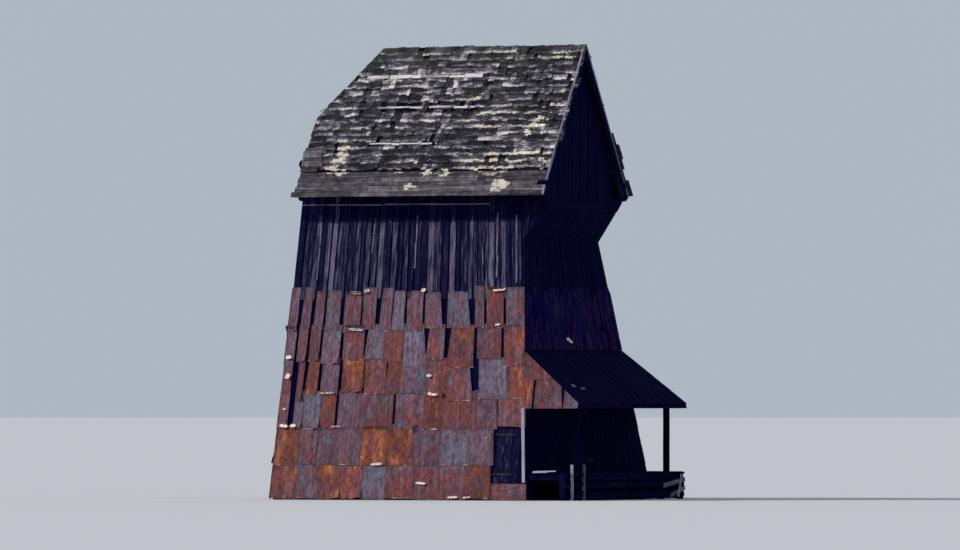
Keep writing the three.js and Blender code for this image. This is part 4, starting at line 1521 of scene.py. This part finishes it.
draw = random.Random(134)
pieces = []
rise = 0.03
while rise < 1.85:
    x = -ROOF_FRONT + draw.uniform(0.0, 0.08)
    proud = draw.uniform(0.06, 0.095)
    tall = draw.uniform(0.26, 0.5)
    width = draw.uniform(0.2, 0.34)
    pieces.append(((x, -proud, rise), (x, -proud + 0.012, rise + tall), (0, -1, -0.1), width, 0.04))
    rise += tall * draw.uniform(0.78, 0.98)
patched = timbers("far_verge_patches", pieces, seed=135, shade=(0.0, 0.3))
hang(patched, SLOPES["far"], eave_wood, slot="shingles")

# %% [markdown]
# The lowest strip of both slopes was mended with boards laid along the eave, ten courses of them at the
# back corner and five further on. They lap like shingles, so each tilts a little. At the near slope's front
# corner one is broken short. They could be one ribbed sheet, but their ends and joints have to show.

# %% Eave boards
for side, turn in (("near", 0), ("far", 180)):
    flip = 1 if side == "near" else -1
    pieces = []
    draw = random.Random(131 + turn)
    for course in range(10):
        rise, proud = 0.075 + 0.150 * course, 0.024
        a, last = -3.71 - (0.10, 0.03, 0, 0.02, 0, 0, 0.02, 0, 0.01, 0)[course], 3.63
        if course == 2 and side == "near":
            last = 3.42
        if course > 4:
            last, proud = -3.1 - 0.06 * (course % 3), 0.085
        while a < last - 0.03:
            b = min(a + draw.uniform(1.4, 3.4), last)
            start, end = (flip * a, -proud, rise), (flip * b, -proud - 0.002, rise + 0.006)
            pieces.append((start, end, (0, -1, -0.14), 0.152, 0.02))
            a = b + 0.006
    mended = timbers(f"{side}_eave_boards", pieces, seed=130 + turn, shade=(0.0, 1.0))
    hang(mended, SLOPES[side], eave_wood, slot="boards")

# %% [markdown]
# Higher up the near slope, laths show as pale broken lines where the shingles over them have gone. The
# highest is the widest and the least broken. They hang in short lengths, each a little out of line with the
# next.

# %% Bared laths
draw = random.Random(133)
pieces = []
for a, last, rise, wide in BARED_LATHS:
    least_broken = wide == 0.10
    while a < last:
        b = min(a + draw.uniform(*((0.3, 1.0) if least_broken else (0.12, 0.75))), last)
        sag, drop = draw.uniform(-0.014, 0.014), draw.uniform(-0.01, 0.012)
        wider = wide * draw.uniform(0.7, 1.2)
        pieces.append(((a, -0.034, rise + sag), (b, -0.034, rise + sag + drop), (0, -1, 0), wider, 0.02))
        a = b + draw.choice((0.01, 0.01, 0.03, 0.06) if least_broken else (0.01, 0.01, 0.03, 0.1, 0.2))
pale_laths = timbers("bared_roof_laths", pieces, seed=132, shade=(0.3, 1.2))
hang(pale_laths, SLOPES["near"], lath_wood, slot="pale_boards")

# %% [markdown]
# A purlin, the beam that carries the rafters, sticks out at the back. Its end was hewn to a blunt point and
# has weathered black, so two saw cuts shape it. Beside it two torn verge boards hang.

# %% Purlin's end and torn verge boards
low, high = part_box("purlin_end")
middle_y, knob_z = (low.y + high.y) / 2, low.z + 0.20
purlin = timbers(
    "hewn_purlin_end",
    [((low.x + 0.42, middle_y, knob_z), (low.x + 0.01, middle_y, knob_z - 0.01), (0, -1, 0), 0.27, 0.18)],
    seed=77,
    shade=(0.0, 0.05),
)
saw(purlin, (low.x + 0.03, middle_y, knob_z), (-1, 0.2, -0.55))
saw(purlin, (low.x + 0.02, middle_y, knob_z + 0.06), (-1, -0.15, 0.5))
hang(purlin, HERE, shaded_boards, "purlin_end", slot="timber")
torn = timbers(
    "torn_verge_board",
    [
        ((-4.22, low.y - 0.015, 8.90), (-4.25, low.y - 0.015, 9.34), (0.05, -1, 0), 0.16, 0.022),
        ((-4.37, low.y - 0.030, 8.96), (-4.33, low.y - 0.020, 9.26), (-0.2, -1, 0), 0.13, 0.020),
    ],
    seed=78,
    shade=(0.0, 0.5),
)
hang(torn, HERE, silver_boards, slot="timber")

# %% [markdown]
# A few narrow strips of wood cover gaps between the near wall's boards and catch the light. Each is in two
# lengths. The brightest one is silvered oak, and the others are spruce with a raised tone. They could be
# part of the boards' row, but a strip lies over a gap and has to stand proud.

# %% Cover strips
pieces = []
draw = random.Random(139)
for u, low, high, wide, drift in (
    (0.885, 5.85, 7.55, 0.05, 0.004),
    (0.527, 6.1, 7.5, 0.04, 0.0),
    (0.972, 5.7, 7.5, 0.05, 0.0),
    (0.825, 5.6, 6.6, 0.035, -0.002),
    (0.335, 6.5, 7.45, 0.035, 0.002),
    (0.10, 5.8, 7.3, 0.03, 0.0),
):
    joint = low + (high - low) * draw.uniform(0.35, 0.65)
    for a, b, shift in ((low, joint - 0.02, 0.0), (joint, high, draw.uniform(-0.003, 0.003))):
        start, end = wall_point("near", u + shift, a), wall_point("near", u + shift + drift, b)
        pieces.append((start, end, (0, -1, 0), wide, 0.02))
bright_strip = timbers("near_bright_strip", pieces[:2], seed=140, shade=(0.0, 0.3))
hang(bright_strip, WALLS["near"][0], silver_boards, slot="pale_boards")
strips = timbers("near_cover_strips", pieces[2:], seed=142, shade=(0.85, 1.15))
hang(strips, WALLS["near"][0], bare_boards, slot="boards")

# %% [markdown]
# At some laps the wind has torn a strip of sheet half off and bent it out, and its bare zinc is the
# brightest thing on the wall. Tearing could be simulated, but one sheet bent hard in five places gives all
# of them, each scaled and turned in its own way. The table says where on the wall, how wide, how tall and
# how bare each one is.

# %% Torn flaps
flap = sheet_model(
    "sheet_flap",
    8,
    [
        (lambda p: p.z < 0.05, (0, -0.45, 0.0), 0.9),
        (lambda p: p.z < 0.05 and p.x < 0.05, (0.04, 0, 0.3), 0.3),
        (lambda p: p.z < 0.05 and p.x > 0.95, (-0.03, 0, 0.15), 0.25),
        (lambda p: p.z > 0.95 and p.x > 0.95, (-0.03, 0, -0.35), 0.3),
        (lambda p: p.z > 0.95 and p.x < 0.05, (0.05, 0, -0.2), 0.2),
    ],
    buckle=0.06,
)
FLAPS = [
    (0.278, 5.44, 0.34, 0.09, 0.55),
    (0.326, 5.47, 0.17, 0.10, 0.60),
    (0.571, 5.50, 0.13, 0.11, 0.75),
    (0.899, 5.49, 0.36, 0.09, 0.72),
    (0.290, 4.48, 0.42, 0.08, 0.58),
    (0.892, 4.58, 0.14, 0.08, 0.70),
    (0.016, 3.72, 0.17, 0.11, 0.92),
    (0.020, 3.20, 0.14, 0.16, 0.92),
    (0.020, 2.38, 0.10, 0.07, 0.60),
    (0.024, 1.93, 0.24, 0.10, 0.88),
    (0.063, 1.92, 0.17, 0.10, 0.86),
    (0.191, 2.79, 0.48, 0.06, 0.52),
    (0.240, 1.92, 0.30, 0.05, 0.50),
    (0.609, 3.25, 0.15, 0.09, 0.70),
    (0.625, 2.77, 0.28, 0.10, 0.84),
    (0.413, 0.91, 0.35, 0.08, 0.70),
    (0.591, 0.44, 0.30, 0.07, 0.84),
    (0.718, 0.06, 0.30, 0.07, 0.70),
    (0.772, 0.06, 0.22, 0.06, 0.62),
]
draw = random.Random(141)
parts = []
for u, height, wide, tall, bare_share in FLAPS:
    x, _, rise = wall_point("near", u, height)
    size = Matrix.Diagonal((wide, tall, tall, 1))
    spin = Matrix.Rotation(draw.uniform(-0.14, 0.14), 4, "Y")
    place = Matrix.Translation((x - wide / 2, -0.047, rise - 0.03))
    parts.append(copied(flap, place @ spin @ size, 1.0 + bare_share))
hang(joined("near_torn_flaps", parts), WALLS["near"][0], rust, slot="sheets")

place = Matrix.Translation((-0.42, -0.05, up("porch", 4.12)))
torn_corner = copied(flap, place @ Matrix.Diagonal((0.24, 0.16, 0.15, 1)), 1.7)
torn_corner.name = torn_corner.data.name = "porch_torn_flap"
hang(torn_corner, WALLS["porch"][0], rust, slot="sheets")
bin_models(flap)

# %% [markdown]
# A canopy leans against the porch wall over the loading deck, boarded down its slope. It narrows towards
# the wall, since the side walls that it joins lean in, so its boards fan like those of a wall and come from
# the same function.

# %% Canopy boards
CANOPY_TIP, CANOPY_FOOT, CANOPY_TOP = 5.05, 2.54, 3.93
canopy_run = CANOPY_TIP - porch_reach(CANOPY_TOP)
canopy_rise = CANOPY_TOP - CANOPY_FOOT
canopy_slope = math.hypot(canopy_run, canopy_rise)


def canopy_ends(rise):
    """The two ends of the canopy, that far up its slope."""
    half = HALF_DEPTH + 0.03 - SIDE_BATTER * (CANOPY_FOOT + rise * canopy_rise / canopy_slope)
    return -half, half


# shade=0.35 lowers the boards' tone: painted shade on the canopy, which faces away from the sun.
canopy_boards = board_row(
    "canopy_boards_laid",
    boards,
    canopy_ends,
    -0.03,
    canopy_slope - 0.01,
    seed=31,
    gap=(0.002, 0.014),
    shade=0.35,
)
canopy_place = wall_place(90, CANOPY_TIP, canopy_run / canopy_rise, CANOPY_FOOT)
hang(canopy_boards, canopy_place, bare_boards, slot="boards")

# %% [markdown]
# The canopy's two cheeks carry the side walls on and are sheeted as they are, in two rows. They are laid as
# a rectangle and sawn to the canopy's slope and to the wall. The far cheek is the near one's mirror image,
# which is quicker than a second layout.

# %% Canopy cheeks
CHEEK_SHEETS = {
    3: [(0.14, BROWN, LAPPED), (0.37, RED, 0.06), (0.80, BROWN, 0.02), (1.0, DULL, LAPPED)],
    4: [(0.30, BROWN, LAPPED), (0.62, RED, LAPPED), (1.0, RED, LAPPED)],
}
for side in ("near", "far"):
    levels = [(3, up("near", 2.43), up("near", 3.36)), (4, up("near", 3.28), up("near", 3.95))]
    cheek = sheet_rows(f"canopy_cheek_{side}_sheets", 33, levels, lambda rise: (3.0, 5.02), CHEEK_SHEETS)
    saw_line(cheek, (CANOPY_TIP, up("near", CANOPY_FOOT)), (porch_reach(CANOPY_TOP), up("near", CANOPY_TOP)))
    saw_line(cheek, (porch_reach(9), up("near", 9)), (porch_reach(0), 0))
    saw(cheek, (0, 0, up("near", 2.40)), (0, 0, -1))
    if side == "far":
        mirrored(cheek)
    hang(cheek, WALLS[side][0], rust, slot="sheets")

# %% [markdown]
# Two posts and a hewn beam carry the canopy's front edge, and two bleached bits of broken wood lie on it.
# All are timbers, made to measure between two points.

# %% Canopy beam, posts and bleached bits
litter = timbers(
    "canopy_bleached_bits",
    [
        ((4.05, -2.52, 3.005), (4.06, -2.36, 3.000), (0.62, 0, 0.78), 0.10, 0.015),
        ((4.15, -2.20, 2.925), (4.13, -1.95, 2.940), (0.62, 0, 0.78), 0.07, 0.015),
    ],
    seed=82,
    shade=(0.0, 0.2),
)
hang(litter, HERE, silver_boards, slot="pale_boards")

# Low tones and the shaded copy paint the shade under the canopy on the posts and the beam.
posts = timbers(
    "canopy_posts",
    [((4.245, y, 0.73), (4.245, y, 2.43), (0, -1, 0), 0.14, 0.14) for y in (-2.675, 2.675)],
    seed=80,
    shade=(0.0, 0.1),
)
hang(posts, HERE, shaded_boards, "canopy_post_near", "canopy_post_far", slot="timber")
beam = timbers(
    "canopy_beam_hewn",
    [((4.245, -3.15, 2.53), (4.245, 3.15, 2.53), (1, 0, 0), 0.2, 0.14)],
    seed=81,
    shade=(0.0, 0.1),
)
hang(beam, HERE, bare_boards, "canopy_beam", slot="timber")

# %% [markdown]
# Loads were taken in over the deck at the porch end. Its planks run out from the wall, short and thick.
# They are laid as a row of boards and tipped flat by the same matrix that stands a timber on its foot.

# %% Deck planks
DECK_TOP, DECK_FRONT = 0.73, 4.83
planks = [board_model(f"plank_{i}", 0.2, 1.14, 0.045, seed=90 + i, steps=4) for i in range(2)]
# shade=0.4 lowers the planks' tone: painted shade under the canopy.
floor_row = board_row(
    "deck_planks_laid",
    planks,
    (-3.55, 3.55),
    -0.01,
    1.14,
    seed=91,
    widths=(0.15, 0.24),
    gap=(0.003, 0.012),
    ragged=0.015,
    shade=0.4,
)
deck_front = CENTRE_X + DECK_FRONT
deck_place = reaching((deck_front, 0, DECK_TOP - 0.04), (deck_front - 1, 0, DECK_TOP - 0.04), (0, 0, 1))
hang(floor_row, deck_place, bare_boards, "deck_planks", slot="timber")
bin_models(*planks)

# %% [markdown]
# Two boards run along the deck's front, one over the other, each in two lengths. At the far end they have
# come loose and hang aslant. Dark upright boards close the deck behind them: painted shade standing in for
# the dark space under the deck, so that no light shows through. A pale worn board lies along its near edge.

# %% Deck rails and boards
# The rails' low tones paint the shade of the porch end.
rail_x = deck_front + 0.012
rails = timbers(
    "deck_front_rails",
    [
        ((rail_x, -3.55, 0.135), (rail_x, -0.4, 0.13), (1, 0, 0), 0.13, 0.025),
        ((rail_x, -0.37, 0.14), (rail_x, 2.9, 0.11), (1, 0, 0), 0.13, 0.025),
        ((rail_x, -3.56, 0.395), (rail_x, 0.5, 0.40), (1, 0, 0), 0.13, 0.025),
        ((rail_x, 0.53, 0.40), (rail_x, 2.3, 0.38), (1, 0, 0), 0.13, 0.025),
    ],
    seed=93,
    shade=(0.0, 0.4),
)
hang(rails, HERE, bare_boards, slot="timber")
broken = timbers(
    "deck_broken_boards",
    [
        ((rail_x + 0.01, 2.25, 0.36), (rail_x + 0.02, 3.52, 0.52), (1, 0, 0), 0.12, 0.022),
        ((rail_x, 2.7, 0.09), (rail_x + 0.01, 3.55, 0.30), (1, 0, 0), 0.11, 0.022),
        ((rail_x + 0.03, 3.1, 0.06), (rail_x + 0.03, 3.32, 0.66), (1, 0, 0), 0.09, 0.02),
    ],
    seed=94,
)
hang(broken, HERE, silver_boards, slot="pale_boards")

back_x = rail_x - 0.14
places = [-3.5 + 0.29 * i for i in range(4, 25)]
under_deck_shade = timbers(
    "under_deck_shade_boards",
    [((back_x, y, 0.02), (back_x, y, 0.66), (1, 0, 0), 0.27, 0.022) for y in places],
    seed=96,
    shade=(0.0, 0.1),
)
hang(under_deck_shade, HERE, shaded_boards, slot="timber")
edge_board = timbers(
    "deck_edge_board",
    [
        ((3.43, -3.60, 0.745), (3.86, -3.60, 0.755), (0, -1, 0.6), 0.055, 0.02),
        ((3.85, -3.60, 0.764), (4.10, -3.60, 0.774), (0, -1, 0.6), 0.03, 0.02),
    ],
    seed=97,
    shade=(0.9, 1.1),
)
hang(edge_board, HERE, silver_boards, slot="pale_boards")

# %% [markdown]
# A short ladder leads up at the deck's near corner, two silvered stiles and three dark rungs. One stile is
# darker than the other, so each is given its own tone.

# %% Ladder
LADDER_X = 4.39
rungs = [
    ((LADDER_X, -3.20, z), (LADDER_X, -2.55, z + 0.004), (1, 0, 0), 0.045, 0.05)
    for z in (0.222, 0.452, 0.682)
]
stiles = [
    ((LADDER_X, y, 0.0), (LADDER_X, y, 0.94), (1, 0, 0), 0.06, 0.07, tone)
    for y, tone in ((-3.22, 0.8), (-2.53, 0.3))
]
hang(timbers("ladder_stiles", stiles, seed=95), HERE, silver_boards, "ladder", slot="pale_boards")
hang(timbers("ladder_rungs", rungs, seed=98, shade=(0.0, 0.2)), HERE, bare_boards, slot="pale_boards")

# %% [markdown]
# Round the door onto the deck the wall is boarded upright down to the ground: a row on each side of the
# doorway and a short one over it. The door is of planks on two battens and a brace. It stays shut, so it
# rides with the wall.

# %% Porch wall and its door
DOOR_HALF = 0.56
stretches = [((-3.72, -DOOR_HALF), 0.1), ((DOOR_HALF, 3.72), 0.1), ((-0.55, 0.55), 2.66)]
head = up("porch", 4.1)
# shade=0.25 lowers the tone of the porch end's lower boards: painted shade.
parts = [
    board_row(f"porch_boards_{i}", boards, ends, up("porch", foot), head, seed=100 + i, shade=0.25)
    for i, (ends, foot) in enumerate(stretches)
]
porch_wall = joined("porch_lower_boards", parts)
saw_to_outline("porch", porch_wall)
hang(porch_wall, WALLS["porch"][0], bare_boards, slot="boards")

# shade=0.3 paints the same shade on the door.
leaf = board_row(
    "porch_door_leaf",
    boards,
    (-0.53, 0.53),
    up("porch", 0.75),
    up("porch", 2.61),
    seed=104,
    gap=(0.002, 0.006),
    ragged=0.0,
    shade=0.3,
)
heights = [up("porch", z) for z in (1.05, 2.3)]
brace = ((-0.49, -0.03, up("porch", 1.12)), (0.46, -0.03, up("porch", 2.22)), (0, -1, 0), 0.10, 0.026)
battens = timbers(
    "porch_door_battens",
    [((-0.5, -0.03, h), (0.5, -0.03, h), (0, -1, 0), 0.12, 0.03) for h in heights] + [brace],
    seed=105,
)
hang(joined("porch_plank_door", [leaf, battens]), WALLS["porch"][0], bare_boards, "porch_door", slot="boards")

# %% [markdown]
# The low door is three boards on two ledges. It is a row of boards like any other, cut to the opening with
# a gap of about 12 mm all round, and pushed back so that it lies in the wall. The door, its ledges and its
# straps ride on the body that swings.

# %% Low side door
door_foot, door_head = up("near", DOOR_SILL) + 0.013, up("near", DOOR_HEAD) - 0.013
door_boards = board_row(
    "low_door_boards",
    boards,
    (DOOR_LEFT + 0.012, DOOR_RIGHT - 0.012),
    door_foot,
    door_head,
    seed=110,
    widths=(0.217, 0.222),
    gap=(0.003, 0.004),
    ragged=0.002,
    shade=0.35,
)
door_boards.data.transform(Matrix.Translation((0, 0.014, 0)))
hinge_heights = [up("near", DOOR_SILL) + 0.2453, up("near", DOOR_HEAD) - 0.1947]
ledges = timbers(
    "low_door_ledges",
    [((2.81, 0.042, h), (3.29, 0.042, h), (0, -1, 0), 0.09, 0.024) for h in hinge_heights],
    seed=111,
)
low_door = joined("low_door_leaf", [door_boards, ledges])
hang(low_door, WALLS["near"][0], bare_boards, "side_door", body="door", slot="boards")
print("low door", [round(v, 3) for v in low_door.dimensions])

# %% [markdown]
# The low door hangs on two forged straps. A strap starts in an eye round its pintle, is cranked back onto
# the boards, and tapers to a rounded tip. It is a grid drawn narrower step by step, as a smith draws it
# out, and the eye is a ring drawn up and given its wall. Spin could make the eye as well, but would leave a
# seam to close. The nails' heads are balls, flattened and jostled as by the hammer.

# %% Strap hinges
PIN_X, PIN_OUT, STRAP_REACH = 2.763, 0.024, 0.52


def strap_model():
    """A strap from the eye, cranked back onto the boards, tapering to a rounded tip."""
    bpy.ops.object.select_all(action="DESELECT")
    bpy.ops.mesh.primitive_grid_add(
        x_subdivisions=16, y_subdivisions=2, size=1, location=(0.5, 0, 0), rotation=(math.pi / 2, 0, 0)
    )
    item = placed("strap")
    edit(item)
    bpy.ops.transform.resize(value=(STRAP_REACH, 1, 0.048), center_override=(0, 0, 0))
    shut()
    for start, narrower in ((0.05, 0.92), (0.2, 0.88), (0.33, 0.85), (0.43, 0.85), (0.48, 0.75), (0.51, 0.5)):
        edit(item, lambda p: p.x > start)
        bpy.ops.transform.resize(value=(1, 1, narrower), center_override=(0, 0, 0))
        shut()
    edit(item, lambda p: p.x < 0.036)
    bpy.ops.transform.translate(value=(0, -0.022, 0))
    shut()
    finish(item, SOLIDIFY={"thickness": 0.006, "offset": 1.0}, BEVEL={"width": 0.001, "segments": 1})
    return item


def eye_model():
    """The rolled eye: a ring that is drawn up and given its wall."""
    bpy.ops.object.select_all(action="DESELECT")
    bpy.ops.mesh.primitive_circle_add(
        vertices=20, radius=0.0100, fill_type="NOTHING", location=(0, 0, -0.025)
    )
    item = placed("eye")
    edit(item)
    bpy.ops.mesh.extrude_region_move(TRANSFORM_OT_translate={"value": (0, 0, 0.05)})
    bpy.ops.mesh.select_all(action="SELECT")
    bpy.ops.mesh.normals_make_consistent(inside=False)
    shut()
    finish(item, SOLIDIFY={"thickness": 0.006, "offset": 1.0}, BEVEL={"width": 0.001, "segments": 1})
    return item


def nail_model():
    """A forged nail's head, flattened by the hammer."""
    bpy.ops.object.select_all(action="DESELECT")
    bpy.ops.mesh.primitive_uv_sphere_add(segments=8, ring_count=6, radius=0.009)
    item = bpy.context.object
    item.name = "nail_head"
    edit(item)
    bpy.ops.transform.resize(value=(1, 0.55, 1))
    bpy.ops.transform.vertex_random(offset=0.001, seed=9)
    shut()
    return item


strap, eye, nail = strap_model(), eye_model(), nail_model()
parts = []
for h in hinge_heights:
    parts.append(copied(strap, Matrix.Translation((PIN_X, -0.004, h)), 0.5))
    parts.append(copied(eye, Matrix.Translation((PIN_X, -PIN_OUT, h)), 0.5))
    for along in (0.09, 0.2, 0.32, 0.44):
        spot = (PIN_X + along, -0.010, h + 0.004 * math.sin(40 * along))
        parts.append(copied(nail, Matrix.Translation(spot), 0.5))
hang(joined("low_door_straps", parts), WALLS["near"][0], iron, body="door", slot="iron")
bin_models(strap, eye, nail)

# %% [markdown]
# One silvered board covers the corner beside the low door, up to the canopy's cheek. It is a single timber
# between two points of the leaning wall, since a board modelled upright would stand off the wall at its
# head.

# %% Corner board
corner_foot = Vector((3.722 - 0.045, -0.038, up("near", 0.46)))
corner_head = Vector((3.480 - 0.045, -0.042, up("near", 2.42)))
corner = timbers(
    "corner_board_silvered",
    [(corner_foot, corner_head, (0, -1, 0), 0.085, 0.025)],
    seed=120,
    shade=(0.9, 1.0),
)
hang(corner, WALLS["near"][0], silver_boards, "corner_board", slot="pale_boards")

bin_models(*boards, *sheets.values(), *shingles)

# %% [markdown]
# Solids that stay in sight get the same finishes, read from where they are in space, with the grain along
# each. A solid has no map of its own, and this way it needs none. The names of alike solids start alike, so
# a short table of beginnings is enough. What it leaves out is boards and sheets that lie behind the new
# ones.

# %% Finishes of the solids
# The shaded copies paint shade on solids that stand out of the sun, and every solid not named here takes one.
SOLID_FINISH = {
    "sill_near": oak_along["x"],
    "sill_far": oak_along["x"],
    "sill_back": oak_along["y"],
    "sill_porch": oak_along["y"],
    "corner_post": oak_along["z"],
    "wall_plate": oak_along["x"],
    "ground_floor": spruce_along["x"],
    "roof_": roof_underlay,
    "purlin_end": shaded_along["z"],
    "bargeboard": spruce_along["z"],
    "canopy_roof": shaded_along["x"],
    "canopy_beam": oak_along["y"],
    "canopy_post": oak_along["z"],
    "canopy_cheek": shaded_along["z"],
    "deck_planks": spruce_along["x"],
    "deck_frame": shaded_along["z"],
    "ladder": silver_along_z,
    "corner_board": silver_along_z,
    "door_pintle": iron,
}
for name in nodes:
    looks = [look for start, look in SOLID_FINISH.items() if name.startswith(start)]
    made = looks[0] if looks else shaded_along["z"]
    mesh = bpy.data.objects[name].data
    mesh.materials.clear()
    mesh.materials.append(made)
